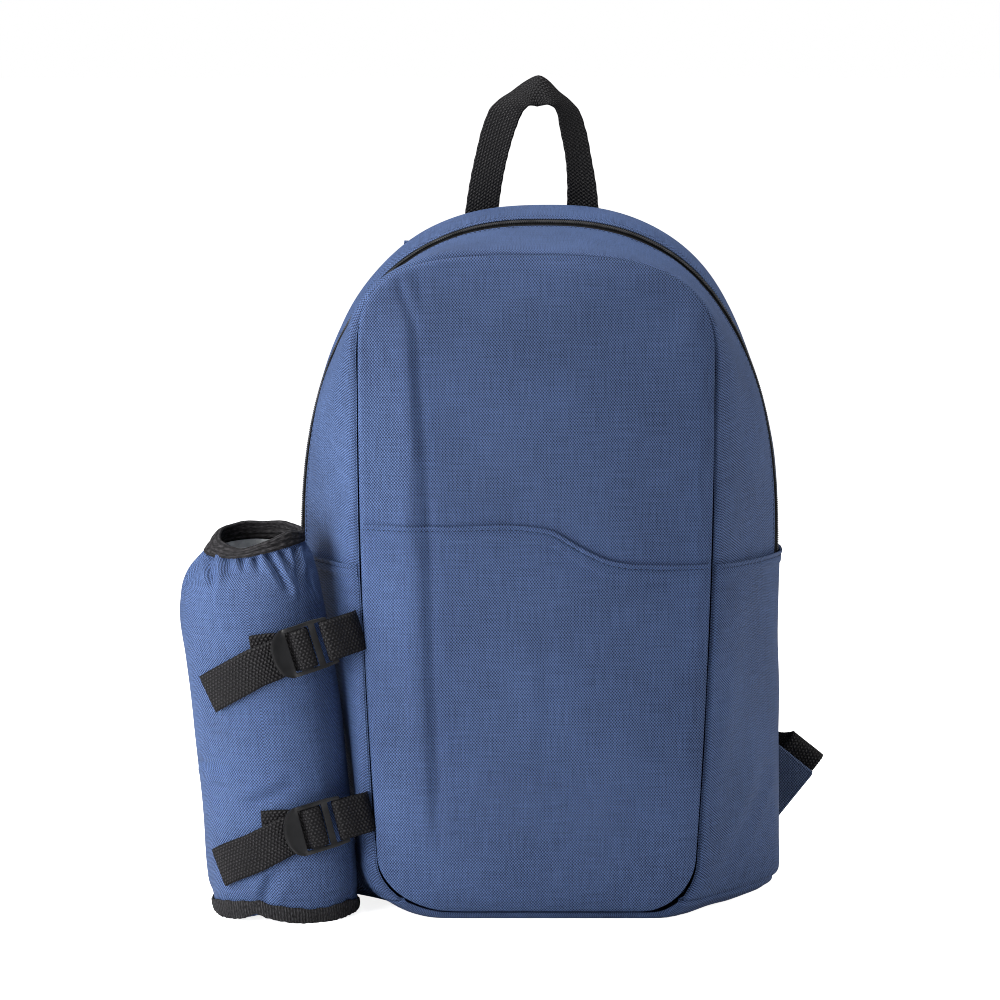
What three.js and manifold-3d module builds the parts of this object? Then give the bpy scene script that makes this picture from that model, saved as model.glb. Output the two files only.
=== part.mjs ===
// A cooler backpack: an arch-shaped insulated daypack of padded woven cloth, with a boxed front,
// a zip round the arch, a slip pocket on the front and one on each side, a webbing grab handle,
// two padded shoulder straps behind, and an insulated bottle sleeve strapped beside it by two
// webbing straps with ladder-lock buckles.
//
// Millimetres. +X is to the right of someone facing the front, +Y points from the front to the
// back panel, +Z is up. The origin is the middle of the pack's base, on the floor.

import * as THREE from 'three';
import { mergeVertices } from 'three/addons/utils/BufferGeometryUtils.js';
import Module from 'manifold-3d';

const wasm = await Module();
wasm.setup();

// ------------------------------------------------------------------ driving dimensions
const WALL = 3.0;            // padded cloth wall of the pack
const BACK_PAD = 4.0;        // foam back panel
const CLOTH = 1.2;           // single cloth of the pockets
const GAP = 0.4;             // air left between neighbouring pieces
const Y_BACK = 72.4;         // where the back seam is
const PACK_H = 432;          // height of the arch above the floor
const LEAN = 0.13;           // share of its depth that the pack loses at the top
const FRONT_BULGE = 8;       // how far the front panel crowns
const ZIP_Y = [12.4, 22.0];  // the zip's band, from its front to its back edge
const ZIP_END_Z = 217;       // where the zip ends on each side, at the side pocket's hem
const WEB = 25;              // width of the strap webbing
const WEB_T = 1.2;           // its thickness
const HANDLE_T = 1.6;        // the grab handle's thickness
const SLEEVE_WALL = { body: 3.0, mouth: 1.3, from: 190, over: 34 };   // the sleeve's insulated wall, pinched thin at its mouth
const PAD_T = 9;             // shoulder pad thickness

// Outlines of the pack from the front seam to the back seam. y: depth. dx: sideways shift.
// w: half width at its widest, zw: the height of that. top: top height, n and nl: how square the
// arch is on the right and on the left. wl: half width where the lower corner begins, rb: that
// corner's height, wb and wbl: half width of the flat bottom on the right and on the left, bot:
// height of the bottom.
const SECTIONS = [
  { y: -70, dx: -3, w: 108.5, zw: 345, top: 412, n: 2.7, nl: 3.3, wl: 98.5, rb: 36, wb: 64, wbl: 48, bot: 5 },
  { y: -63, dx: -2.6, w: 113.5, zw: 331, top: 413.5, n: 2.67, nl: 3.1, wl: 103.5, rb: 36, wb: 75, wbl: 54, bot: 0 },
  { y: -48, dx: -2, w: 123, zw: 302, top: 417, n: 2.6, nl: 2.8, wl: 114.5, rb: 32, wb: 90, wbl: 66, bot: 0 },
  { y: -18, dx: -1, w: 137.5, zw: 255, top: 422, n: 2.5, nl: 2.55, wl: 134, rb: 26, wb: 115, wbl: 97, bot: 0 },
  { y: 14, dx: 0, w: 149, zw: 217, top: 426, n: 2.45, nl: 2.45, wl: 150, rb: 22, wb: 135, wbl: 126, bot: 0 },
  { y: 44, dx: 0, w: 151.5, zw: 205, top: 431, n: 2.53, nl: 2.53, wl: 152.5, rb: 20, wb: 143.5, wbl: 140, bot: 0 },
  { y: Y_BACK, dx: 0, w: 149.5, zw: 205, top: PACK_H, n: 2.55, nl: 2.55, wl: 150, rb: 19, wb: 144, wbl: 144, bot: 0 },
];
const SKEW = { x: 2.5, zFrom: 330, zTo: 430, yFrom: -20, yTo: 40 };   // the arch leans a little to the right
const CORNER_T = 0.24;       // share of the half outline that is bottom and lower corner
const BASE_SEAM_Z = { front: 11, back: 7 };   // the height where the base is sewn to the sides

// The hollow that the bottle sleeve presses into the pack's left side.
const DENT = { depth: 15.5, z: 46, zSpread: 98, y: -27, ySpread: 26, xFrom: 70, xTo: 120 };

// The front pocket's top edge, along X: level, then an S-shaped step down to the right.
const POCKET_EDGE = [
  { x: -120, z: 245 }, { x: -60, z: 244.2 }, { x: -4, z: 243.9 }, { x: 6, z: 242 }, { x: 19, z: 234.6 },
  { x: 29, z: 229 }, { x: 39, z: 224.4 }, { x: 50, z: 221.8 }, { x: 66, z: 220.6 }, { x: 120, z: 220.6 },
];
const SIDE_HEM_Z = { front: 220, back: 216 };   // the side pockets' top edge

// The bottle sleeve by height: centre cx, cy, half axes a, b, and how far each level nods
// forward and to the left, in degrees.
const SLEEVE = [
  { z: 0, cx: -157.5, cy: -43, a: 43.6, b: 37, fore: 0, side: 0 },
  { z: 12, cx: -158.6, cy: -43, a: 44.8, b: 38, fore: 0, side: 0 },
  { z: 60, cx: -163, cy: -43, a: 45.8, b: 38.5, fore: 0, side: 0 },
  { z: 110, cx: -167.8, cy: -43, a: 46, b: 38.5, fore: 0, side: 0 },
  { z: 160, cx: -173.6, cy: -43, a: 45.2, b: 38, fore: 0.5, side: 0.3 },
  { z: 198, cx: -178.4, cy: -43, a: 43.8, b: 37, fore: 4, side: 3.5 },
  { z: 212, cx: -178.9, cy: -43, a: 41, b: 34, fore: 6, side: 5.2 },
  { z: 221, cx: -177.8, cy: -43, a: 36.6, b: 30, fore: 7.2, side: 6 },
  { z: 228, cx: -176.2, cy: -43, a: 30.8, b: 25.3, fore: 8, side: 6.3 },
  { z: 237, cx: -172.1, cy: -43, a: 25.5, b: 20.5, fore: 13, side: 3.5 },
];
const SLEEVE_TOP = 228;      // top of the sleeve's cloth
const RIM_TOP = 236.5;       // top of the elastic binding
const RIM_INSIDE = 225.5;    // how far down the binding reaches inside
const HEM_H = 12;

// The two straps that hold the sleeve. tab: the buckle's tab end on the sleeve (phi from the
// front towards the pack, degrees, and height), far: the buckle's other end, seam: where the
// anchor webbing is sewn in the pack's front seam. sewn: the webbing's sewn end on the sleeve.
// tail: its loose end, rows of phi, height.
const STRAPS = [
  {
    name: 'upper', tab: { phi: 13.2, h: 165.6 }, far: { x: -127.5, y: -78, z: 175.9 },
    seam: { x: -110.8, y: -67.5, z: 180 }, sewn: { phi: -9.5, h: 167.2 },
    tail: [{ phi: 0, h: 159.6 }, { phi: -9, h: 155.6 }, { phi: -20, h: 150.6 }, { phi: -31, h: 145.8 }, { phi: -41, h: 141.4 }],
  },
  {
    name: 'lower', tab: { phi: 7.2, h: 56 }, far: { x: -121, y: -77.5, z: 65 },
    seam: { x: -104.6, y: -69.5, z: 68 }, sewn: { phi: -13, h: 58.8 },
    tail: [{ phi: -6, h: 49.2 }, { phi: -16, h: 45 }, { phi: -28, h: 40.8 }, { phi: -40, h: 36.6 }, { phi: -50, h: 32.8 }],
  },
];
// The ladder-lock buckle along its length u, from the lift tab to the end bar.
const BUCKLE = { tab: -20, slot1: [-8.5, -4.5], slot2: [2.5, 6.5], slot3: [10.5, 14.5], end: 18.5, half: 15.2, inner: 13.0, t: 2.4, lift: 5.9 };

// The grab handle: its outer and inner edge, from the left end to the right end.
const HANDLE = [
  { xo: -50, yo: 78.2, zo: 401, xi: -28, yi: 78.2, zi: 404 },
  { xo: -47.6, yo: 78.4, zo: 425, xi: -26, yi: 78.4, zi: 429 },
  { xo: -44.4, yo: 79.5, zo: 446, xi: -23, yi: 77, zi: 449.5 },
  { xo: -39.8, yo: 81, zo: 467, xi: -18.8, yi: 76, zi: 468 },
  { xo: -35.2, yo: 82, zo: 484, xi: -14.6, yi: 75, zi: 481.5 },
  { xo: -29.5, yo: 82.5, zo: 495.5, xi: -10.6, yi: 73.5, zi: 491 },
  { xo: -18, yo: 83, zo: 504, xi: -6.6, yi: 70, zi: 495.4 },
  { xo: 0.8, yo: 83, zo: 514.3, xi: -0.8, yi: 72, zi: 495.2 },
  { xo: 12.5, yo: 83, zo: 504.4, xi: 5.2, yi: 70, zi: 496.2 },
  { xo: 23.4, yo: 82.5, zo: 494.6, xi: 10.2, yi: 73, zi: 493 },
  { xo: 29.2, yo: 82, zo: 481.3, xi: 13.4, yi: 75, zi: 479 },
  { xo: 33.1, yo: 81, zo: 462.8, xi: 16.6, yi: 76, zi: 462.8 },
  { xo: 36.3, yo: 79.5, zo: 445.6, xi: 17.8, yi: 77, zi: 447.6 },
  { xo: 38.3, yo: 78.4, zo: 427, xi: 17.8, yi: 78.4, zi: 429 },
  { xo: 40, yo: 78.2, zo: 403, xi: 18, yi: 78.2, zi: 401 },
];

// A shoulder strap on the right; the left one is its mirror image. Centre line, half width.
const PAD = [
  { x: 56, y: 83.5, z: 405.5, hw: 29, t: 7 },
  { x: 56.5, y: 88, z: 396, hw: 29.5, t: 9 },
  { x: 58, y: 97, z: 368, hw: 30, t: 9 },
  { x: 61, y: 105, z: 330, hw: 30, t: 9 },
  { x: 65.5, y: 109, z: 285, hw: 29.5, t: 9 },
  { x: 71.5, y: 109, z: 240, hw: 28.5, t: 9 },
  { x: 79, y: 106, z: 200, hw: 26.5, t: 9 },
  { x: 88, y: 102, z: 163, hw: 22, t: 8 },
  { x: 94.5, y: 99.5, z: 141, hw: 16.5, t: 6 },
];
// The webbing from the tab to the pad: centre line and width direction.
const STRAP_WEB = [
  { x: 168.6, y: 78.2, z: 72.0, bx: 0.79, by: 0, bz: -0.61 },
  { x: 172.2, y: 78.3, z: 76.7, bx: 0.79, by: 0, bz: -0.61 },
  { x: 174.9, y: 79.7, z: 80.1, bx: 0.79, by: 0, bz: -0.61 },
  { x: 176.0, y: 82.6, z: 81.6, bx: 0.78, by: 0, bz: -0.62 },
  { x: 175.0, y: 85.8, z: 80.6, bx: 0.75, by: 0, bz: -0.66 },
  { x: 171.5, y: 88.4, z: 78.4, bx: 0.66, by: 0.05, bz: -0.75 },
  { x: 163, y: 91.5, z: 76, bx: 0.42, by: 0.1, bz: -0.9 },
  { x: 150, y: 94.5, z: 77, bx: 0.08, by: 0.08, bz: -0.99 },
  { x: 136, y: 97, z: 84, bx: -0.35, by: 0, bz: -0.93 },
  { x: 122, y: 98.0, z: 96, bx: -0.68, by: 0, bz: -0.73 },
];
// The strap's adjuster, a slotted plate: its middle, and the slots and bar along the webbing.
const ADJUSTER = { x: 108.5, y: 99.6, z: 115.5, w: 30, l: 18, t: 2.2, slot: [3, 6.5], inner: 13.2 };
const TAB = [[140, 92], [158.2, 79.6], [177.9, 63.6], [178.0, 61.8], [156.6, 34.7], [140, 16]];   // X, Z
const TAB_Y = [76.9, 79.5];

// ------------------------------------------------------------------ materials
const cloth = (name, color, roughness, metalness = 0) => new THREE.MeshStandardMaterial({ name, color, roughness, metalness });
const BLUE = cloth('pack_cloth', 0x3b5488, 0.85);
const BLUE_POCKET = cloth('pocket_cloth', 0x39528a, 0.85);
const BLACK_WEB = cloth('webbing', 0x1c1b1d, 0.9);
const BINDING = cloth('binding', 0x202022, 0.9);
const PLASTIC = cloth('buckle_plastic', 0x151517, 0.45);
const ZIP = cloth('zip', 0x141416, 0.6);
const FOIL = cloth('foil_lining', 0xb9bdc2, 0.35, 0.6);

// ------------------------------------------------------------------ small maths
const V = (x, y, z) => new THREE.Vector3(x, y, z);
const lerp = (a, b, t) => a + (b - a) * t;
const smooth = (t) => { const q = Math.min(1, Math.max(0, t)); return q * q * (3 - 2 * q); };
const rad = (d) => (d * Math.PI) / 180;
const frange = (a, b, n) => Array.from({ length: n + 1 }, (_, i) => lerp(a, b, i / n));

function table(rows, key, x, col) {
  if (x <= rows[0][key]) return rows[0][col];
  for (let i = 1; i < rows.length; i++) {
    if (x <= rows[i][key]) return lerp(rows[i - 1][col], rows[i][col], (x - rows[i - 1][key]) / (rows[i][key] - rows[i - 1][key]));
  }
  return rows[rows.length - 1][col];
}

function catmull(p0, p1, p2, p3, t) {
  return 0.5 * (2 * p1 + (p2 - p0) * t + (2 * p0 - 5 * p1 + 4 * p2 - p3) * t * t + (3 * p1 - p0 - 3 * p2 + p3) * t * t * t);
}

// ------------------------------------------------------------------ the pack's outline
// Half an outline, from the bottom's middle to the top's, as points [x, z].
function halfOutline(c, n, wb) {
  const lower = [], upper = [];
  for (let i = 0; i <= 12; i++) lower.push([(wb * i) / 12, c.bot]);
  for (let i = 1; i <= 16; i++) {
    const a = ((Math.PI / 2) * i) / 16;
    lower.push([wb + (c.wl - wb) * Math.sin(a), c.bot + c.rb * (1 - Math.cos(a))]);
  }
  const z0 = c.bot + c.rb;
  for (let i = 0; i <= 24; i++) {
    const q = i / 24;
    upper.push([c.wl + (c.w - c.wl) * (2 * q - q * q), z0 + (c.zw - z0) * q]);
  }
  for (let i = 1; i <= 90; i++) {
    const a = ((Math.PI / 2) * i) / 90;
    upper.push([c.w * Math.pow(Math.max(0, Math.cos(a)), 2 / n), c.zw + (c.top - c.zw) * Math.pow(Math.sin(a), 2 / n)]);
  }
  return [lower, upper];
}
function byLength(points) {
  const at = [0];
  for (let i = 1; i < points.length; i++) at.push(at[i - 1] + Math.hypot(points[i][0] - points[i - 1][0], points[i][1] - points[i - 1][1]));
  const total = at[at.length - 1];
  return (f) => {
    const d = Math.min(1, Math.max(0, f)) * total;
    let i = 1;
    while (i < at.length - 1 && at[i] < d) i++;
    const q = (d - at[i - 1]) / Math.max(1e-9, at[i] - at[i - 1]);
    return [lerp(points[i - 1][0], points[i][0], q), lerp(points[i - 1][1], points[i][1], q)];
  };
}
const ROWS = SECTIONS.map((c) => {
  const [right, left] = [[c.n, c.wb], [c.nl, c.wbl]].map(([n, wb]) => halfOutline(c, n, wb).map(byLength));
  return { c, right, left };
});

function rowPoint(row, t) {
  const a = Math.abs(t), [lower, upper] = t < 0 ? row.left : row.right;
  const [x, z] = a <= CORNER_T ? lower(a / CORNER_T) : upper((a - CORNER_T) / (1 - CORNER_T));
  return [row.c.dx + Math.sign(t) * x, z];
}
// A point of the pack's outer surface before it leans: s from the front to the back seam,
// t from -1 (top middle) over the left side, 0 (bottom middle) and the right side to 1.
function loft(s, t) {
  const n = SECTIONS.length - 1;
  const f = Math.min(n - 1e-9, Math.max(0, s * n));
  const i = Math.floor(f), q = f - i;
  const r = [Math.max(0, i - 1), i, i + 1, Math.min(n, i + 2)];
  const p = r.map((k) => rowPoint(ROWS[k], t));
  const y = r.map((k) => SECTIONS[k].y);
  return [catmull(p[0][0], p[1][0], p[2][0], p[3][0], q), catmull(y[0], y[1], y[2], y[3], q), Math.max(0, catmull(p[0][1], p[1][1], p[2][1], p[3][1], q))];
}
function sAtY(y) {
  let lo = 0, hi = 1;
  for (let k = 0; k < 50; k++) { const m = (lo + hi) / 2; if (loft(m, 0)[1] < y) lo = m; else hi = m; }
  return (lo + hi) / 2;
}
// Outward normal of the outline, in its own plane.
function outward(s, t) {
  const d = 0.004;
  const a = loft(s, Math.max(-1, t - d)), b = loft(s, Math.min(1, t + d));
  const dx = b[0] - a[0], dz = b[2] - a[2], l = Math.hypot(dx, dz) || 1;
  return [dz / l, -dx / l];
}
// The lean of the front, and the hollow that the bottle sleeve presses in.
function lean([x, y, z]) {
  const y2 = y < Y_BACK ? Y_BACK - (Y_BACK - y) * (1 - LEAN * Math.pow(Math.max(0, z) / PACK_H, 1.6)) : y;
  const g = DENT.depth * Math.exp(-(((z - DENT.z) / DENT.zSpread) ** 2)) * Math.exp(-(((y - DENT.y) / DENT.ySpread) ** 2));
  const k = SKEW.x * smooth((z - SKEW.zFrom) / (SKEW.zTo - SKEW.zFrom)) * smooth((y - SKEW.yFrom) / (SKEW.yTo - SKEW.yFrom));
  return [x + k + g * smooth((-x - DENT.xFrom) / (DENT.xTo - DENT.xFrom)), y2, z];
}
function skin(s, t, out) {
  const p = loft(s, t), n = outward(s, t);
  return lean([p[0] + n[0] * out, p[1], p[2] + n[1] * out]);
}

// ------------------------------------------------------------------ closed solids
function geometry(positions, triangles) {
  let volume = 0;
  const P = (i) => V(positions[3 * i], positions[3 * i + 1], positions[3 * i + 2]);
  for (let i = 0; i < triangles.length; i += 3) volume += P(triangles[i]).dot(P(triangles[i + 1]).cross(P(triangles[i + 2])));
  if (volume < 0) for (let i = 0; i < triangles.length; i += 3) [triangles[i + 1], triangles[i + 2]] = [triangles[i + 2], triangles[i + 1]];
  const g = new THREE.BufferGeometry();
  g.setAttribute('position', new THREE.Float32BufferAttribute(positions, 3));
  g.setIndex(triangles);
  g.computeVertexNormals();
  return g;
}
// A wall between two grids of the same size, outer[i][j] and inner[i][j]; loop: i closes on itself.
function wall(outer, inner, loop = false) {
  const nu = outer.length, nv = outer[0].length, pos = [], tri = [];
  for (const g of [outer, inner]) for (const row of g) for (const p of row) pos.push(...p);
  const id = (side, i, j) => side * nu * nv + (i % nu) * nv + j;
  const quad = (a, b, c, d) => tri.push(a, b, c, a, c, d);
  const last = loop ? nu : nu - 1;
  for (let i = 0; i < last; i++) {
    for (let j = 0; j < nv - 1; j++) {
      quad(id(0, i, j), id(0, i + 1, j), id(0, i + 1, j + 1), id(0, i, j + 1));
      quad(id(1, i, j), id(1, i, j + 1), id(1, i + 1, j + 1), id(1, i + 1, j));
    }
    quad(id(0, i + 1, 0), id(0, i, 0), id(1, i, 0), id(1, i + 1, 0));
    quad(id(0, i, nv - 1), id(0, i + 1, nv - 1), id(1, i + 1, nv - 1), id(1, i, nv - 1));
  }
  if (!loop) {
    for (let j = 0; j < nv - 1; j++) {
      quad(id(0, 0, j), id(0, 0, j + 1), id(1, 0, j + 1), id(1, 0, j));
      quad(id(0, nu - 1, j + 1), id(0, nu - 1, j), id(1, nu - 1, j), id(1, nu - 1, j + 1));
    }
  }
  return geometry(pos, tri);
}
// A plate with a round grid: rings[k][i], from near the middle to the rim, on two faces, with a middle point each.
function plate(front, back, frontMid, backMid) {
  const nk = front.length, n = front[0].length, pos = [], tri = [];
  for (const g of [front, back]) for (const row of g) for (const p of row) pos.push(...p);
  pos.push(...frontMid, ...backMid);
  const id = (side, k, i) => side * nk * n + k * n + (i % n);
  const mid = (side) => 2 * nk * n + side;
  for (let i = 0; i < n; i++) {
    tri.push(mid(0), id(0, 0, i), id(0, 0, i + 1), mid(1), id(1, 0, i + 1), id(1, 0, i));
    for (let k = 0; k < nk - 1; k++) {
      tri.push(id(0, k, i), id(0, k + 1, i), id(0, k + 1, i + 1), id(0, k, i), id(0, k + 1, i + 1), id(0, k, i + 1));
      tri.push(id(1, k, i), id(1, k + 1, i + 1), id(1, k + 1, i), id(1, k, i), id(1, k, i + 1), id(1, k + 1, i + 1));
    }
    const r = nk - 1;
    tri.push(id(0, r, i), id(1, r, i), id(1, r, i + 1), id(0, r, i), id(1, r, i + 1), id(0, r, i + 1));
  }
  return geometry(pos, tri);
}
// A ring: n steps round, each carrying the same closed profile; at(i, j) gives a point.
function ring(n, m, at) {
  const pos = [], tri = [];
  for (let i = 0; i < n; i++) for (let j = 0; j < m; j++) pos.push(...at(i, j));
  for (let i = 0; i < n; i++) {
    for (let j = 0; j < m; j++) {
      const a = i * m + j, b = ((i + 1) % n) * m + j, c = ((i + 1) % n) * m + ((j + 1) % m), d = i * m + ((j + 1) % m);
      tri.push(a, b, c, a, c, d);
    }
  }
  return geometry(pos, tri);
}
// A flat strap: stations {p, b, w, t}, with p the centre line, b the width direction, w the width, t the thickness.
function ribbon(stations) {
  const pos = [], tri = [], n = stations.length;
  stations.forEach((st, i) => {
    const T = stations[Math.min(n - 1, i + 1)].p.clone().sub(stations[Math.max(0, i - 1)].p).normalize();
    const B = st.b.clone().addScaledVector(T, -st.b.dot(T)).normalize();
    const N = T.clone().cross(B).normalize();
    for (const [u, v] of [[-1, -1], [1, -1], [1, 1], [-1, 1]]) {
      const q = st.p.clone().addScaledVector(B, (u * st.w) / 2).addScaledVector(N, (v * st.t) / 2);
      pos.push(q.x, q.y, q.z);
    }
  });
  for (let i = 0; i < n - 1; i++) {
    for (let k = 0; k < 4; k++) {
      const a = 4 * i + k, b = 4 * i + ((k + 1) % 4), c = b + 4, d = a + 4;
      tri.push(a, b, c, a, c, d);
    }
  }
  const e = 4 * (n - 1);
  tri.push(0, 2, 1, 0, 3, 2, e, e + 1, e + 2, e, e + 2, e + 3);
  return geometry(pos, tri);
}
function mirrored(geom) {
  const g = geom.clone();
  const p = g.getAttribute('position');
  for (let i = 0; i < p.count; i++) p.setX(i, -p.getX(i));
  const idx = Array.from(g.getIndex().array);
  for (let i = 0; i < idx.length; i += 3) [idx[i + 1], idx[i + 2]] = [idx[i + 2], idx[i + 1]];
  g.setIndex(idx);
  g.computeVertexNormals();
  return g;
}

// A solid less some boxes, each {x: [from, to], y: [from, to]} and as deep as the solid.
function slotted(geom, boxes, depth) {
  const solid = (g) => {
    const q = g.clone();
    q.deleteAttribute('normal'); q.deleteAttribute('uv');
    const m = mergeVertices(q, 1e-4);
    return new wasm.Manifold(new wasm.Mesh({ numProp: 3, vertProperties: new Float32Array(m.getAttribute('position').array), triVerts: new Uint32Array(m.getIndex().array) }));
  };
  let body = solid(geom);
  for (const b of boxes) {
    const g = new THREE.BoxGeometry(b.x[1] - b.x[0], b.y[1] - b.y[0], 3 * depth);
    g.translate((b.x[0] + b.x[1]) / 2, (b.y[0] + b.y[1]) / 2, 0);
    body = body.subtract(solid(g));
  }
  const mesh = body.getMesh();
  return geometry(Array.from(mesh.vertProperties), Array.from(mesh.triVerts));
}

const pack = new THREE.Group();
pack.name = 'cooler_backpack';
function add(parent, name, geom, material) {
  const m = new THREE.Mesh(geom, material);
  m.name = name;
  parent.add(m);
  return m;
}

// ------------------------------------------------------------------ the pack's walls
// Stations round the outline: bottom, corners, sides and arch.
const T_SIDE = [0.226, 0.245, 0.3, 0.38, 0.47, 0.56, 0.64, 0.71, 0.77, 0.825, 0.875, 0.92, 0.96];
const BASE_SHARES = [0, 0.25, 0.5, 0.7, 0.82, 0.92, 1];
// Where a height is met on the outline at s, between the bottom and the top.
const tAtZ = (s, z, side = 1) => { let lo = 0, hi = 1; for (let k = 0; k < 50; k++) { const m = (lo + hi) / 2; if (loft(s, side * m)[2] < z) lo = m; else hi = m; } return (lo + hi) / 2; };
const shareOfDepth = (y) => (y - SECTIONS[0].y) / (Y_BACK - SECTIONS[0].y);
const seamT = (y, side) => tAtZ(sAtY(y), lerp(BASE_SEAM_Z.front, BASE_SEAM_Z.back, shareOfDepth(y)), side);

const body = new THREE.Group();
pack.add(body);

// Front panel: a crowned plate inside the front seam.
const rimT = [0, 0.05, 0.1, 0.145, 0.17, 0.195, 0.22, ...T_SIDE.slice(1), 1];
const ringT = [...rimT.slice(0, -1), ...[...rimT].reverse().map((t) => -t).slice(0, -1)];
const MID = [SECTIONS[0].dx, 215];
const frontCrown = (r) => FRONT_BULGE * Math.pow(Math.max(0, 1 - r * r), 0.8);
const seamPoint = (t, inset = 0) => { const p = loft(0, t), n = outward(0, t); return [p[0] - n[0] * inset, p[2] - n[1] * inset]; };
{
  const radii = [0.3, 0.6, 0.84, 1];
  const face = (dy) => radii.map((r) => ringT.map((t) => {
    const [x, z] = seamPoint(t);
    return lean([lerp(MID[0], x, r), SECTIONS[0].y - frontCrown(r) + dy, lerp(MID[1], z, r)]);
  }));
  add(body, 'front_panel', plate(face(0), face(WALL), lean([MID[0], SECTIONS[0].y - frontCrown(0), MID[1]]), lean([MID[0], SECTIONS[0].y - frontCrown(0) + WALL, MID[1]])), BLUE);
}

// How far out from the middle of the front panel a point is, 0 to 1 at the seam.
const seamRing = Array.from({ length: 240 }, (_, i) => { const p = seamPoint(-1 + (2 * i) / 240); return { a: Math.atan2(p[1] - MID[1], p[0] - MID[0]), r: Math.hypot(p[0] - MID[0], p[1] - MID[1]) }; }).sort((p, q) => p.a - q.a);
function shareOut(x, z) {
  const a = Math.atan2(z - MID[1], x - MID[0]), r = Math.hypot(x - MID[0], z - MID[1]);
  let i = seamRing.findIndex((p) => p.a > a);
  const hi = seamRing[i < 0 ? 0 : i], lo = seamRing[(i <= 0 ? seamRing.length : i) - 1];
  let span = hi.a - lo.a; if (span <= 0) span += 2 * Math.PI;
  let d = a - lo.a; if (d < 0) d += 2 * Math.PI;
  return r / lerp(lo.r, hi.r, d / span);
}
// Front pocket: one cloth over the lower front, sewn at the sides and bottom, its S-shaped edge open.
{
  const inset = 0.8;
  const half = (z) => {
    let lo = 0, hi = 0.95;
    for (let k = 0; k < 40; k++) { const m = (lo + hi) / 2; if (seamPoint(m, inset)[1] < z) lo = m; else hi = m; }
    return seamPoint(lo, inset)[0] - SECTIONS[0].dx;
  };
  const zs = [5.9, 7.5, 10.5, 16, 24, 34, 46, 75, 115, 160, 205];
  const us = [-1, -0.86, -0.66, -0.4, -0.12, 0.08, 0.22, 0.34, 0.46, 0.6, 0.8, 1];
  const grid = (out) => zs.concat([null]).map((z) => us.map((u) => {
    let zz = z, x;
    if (z === null) { x = SECTIONS[0].dx + u * half(232); zz = table(POCKET_EDGE, 'x', x, 'z'); x = SECTIONS[0].dx + u * half(zz); } else x = SECTIONS[0].dx + u * half(z);
    return lean([x, SECTIONS[0].y - frontCrown(Math.min(1, shareOut(x, zz))) - out, zz]);
  }));
  add(body, 'front_pocket', wall(grid(GAP + CLOTH + 0.4), grid(GAP + 0.4)), BLUE_POCKET);
}

// The gussets and the zip between them.
const T_ZIP = tAtZ(sAtY(17), ZIP_END_Z);
const sideRange = [...T_SIDE.filter((t) => Math.abs(t - T_ZIP) > 0.02), T_ZIP, T_ZIP + 0.006].sort((a, b) => a - b);
// Stations up the right side, over the top and down the left side; null is the base seam at each end.
const archT = [null, ...sideRange, 1, ...[...sideRange].reverse().map((t) => -t), null];
const archAt = (i, y) => (archT[i] === null ? (i ? -1 : 1) * (seamT(y, i ? -1 : 1) + 0.0016) : archT[i]);
const arch = (s, t, out) => skin(s, t, out);
const Y_FRONT = [SECTIONS[0].y + WALL + GAP, -61, -46, -26, -4, ZIP_Y[0] - GAP];
const yRear = (y0) => [y0, lerp(y0, 48, 0.45), 48, Y_BACK - GAP];
{
  const grid = (out) => archT.map((_, i) => Y_FRONT.map((y) => arch(sAtY(y), archAt(i, y), out)));
  add(body, 'gusset_front', wall(grid(0), grid(-WALL)), BLUE);
}
{
  const starts = (t) => (t !== null && Math.abs(t) > T_ZIP + 0.003 ? ZIP_Y[1] + GAP : ZIP_Y[0]);
  const grid = (out) => archT.map((t, i) => yRear(starts(t)).map((y) => arch(sAtY(y), archAt(i, y), out)));
  add(body, 'gusset_rear', wall(grid(0), grid(-WALL)), BLUE);
}
{
  const zipT = sideRange.filter((t) => t > T_ZIP + 0.004).map((t, i) => (i === 0 ? t + 0.004 : t));
  const all = [...zipT, 1, ...[...zipT].reverse().map((t) => -t)];
  const mid = (ZIP_Y[0] + ZIP_Y[1]) / 2;
  const profile = [[ZIP_Y[0], 0.1], [mid - 2, 0.1], [mid - 1.5, 1.3], [mid + 1.5, 1.3], [mid + 2, 0.1], [ZIP_Y[1], 0.1]];
  add(body, 'zipper', wall(all.map((t) => profile.map(([y, o]) => arch(sAtY(y), t, o))), all.map((t) => profile.map(([y]) => arch(sAtY(y), t, -1.2)))), ZIP);
}
// The base, one panel from the front seam to the back seam.
{
  const ys = [...Y_FRONT, ...yRear(ZIP_Y[0])];
  const shares = [...[...BASE_SHARES].reverse().map((f) => -f), ...BASE_SHARES.slice(1)];
  const grid = (out) => shares.map((f) => ys.map((y) => skin(sAtY(y), f * seamT(y, Math.sign(f)), out)));
  add(body, 'base_panel', wall(grid(0), grid(-WALL)), BLUE);
}
// The back panel, a flat foam pad cut to the back seam.
{
  const pts = ringT.map((t) => { const p = loft(1, t); return new THREE.Vector2(p[0], p[2]); });
  const g = new THREE.ExtrudeGeometry(new THREE.Shape(pts), { depth: BACK_PAD, bevelEnabled: false });
  g.deleteAttribute('normal'); g.deleteAttribute('uv');
  const m = add(body, 'back_panel', g, BLUE);
  m.rotation.x = Math.PI / 2;      // the shape's plane becomes X, Z
  m.position.y = Y_BACK + BACK_PAD;
}
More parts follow.
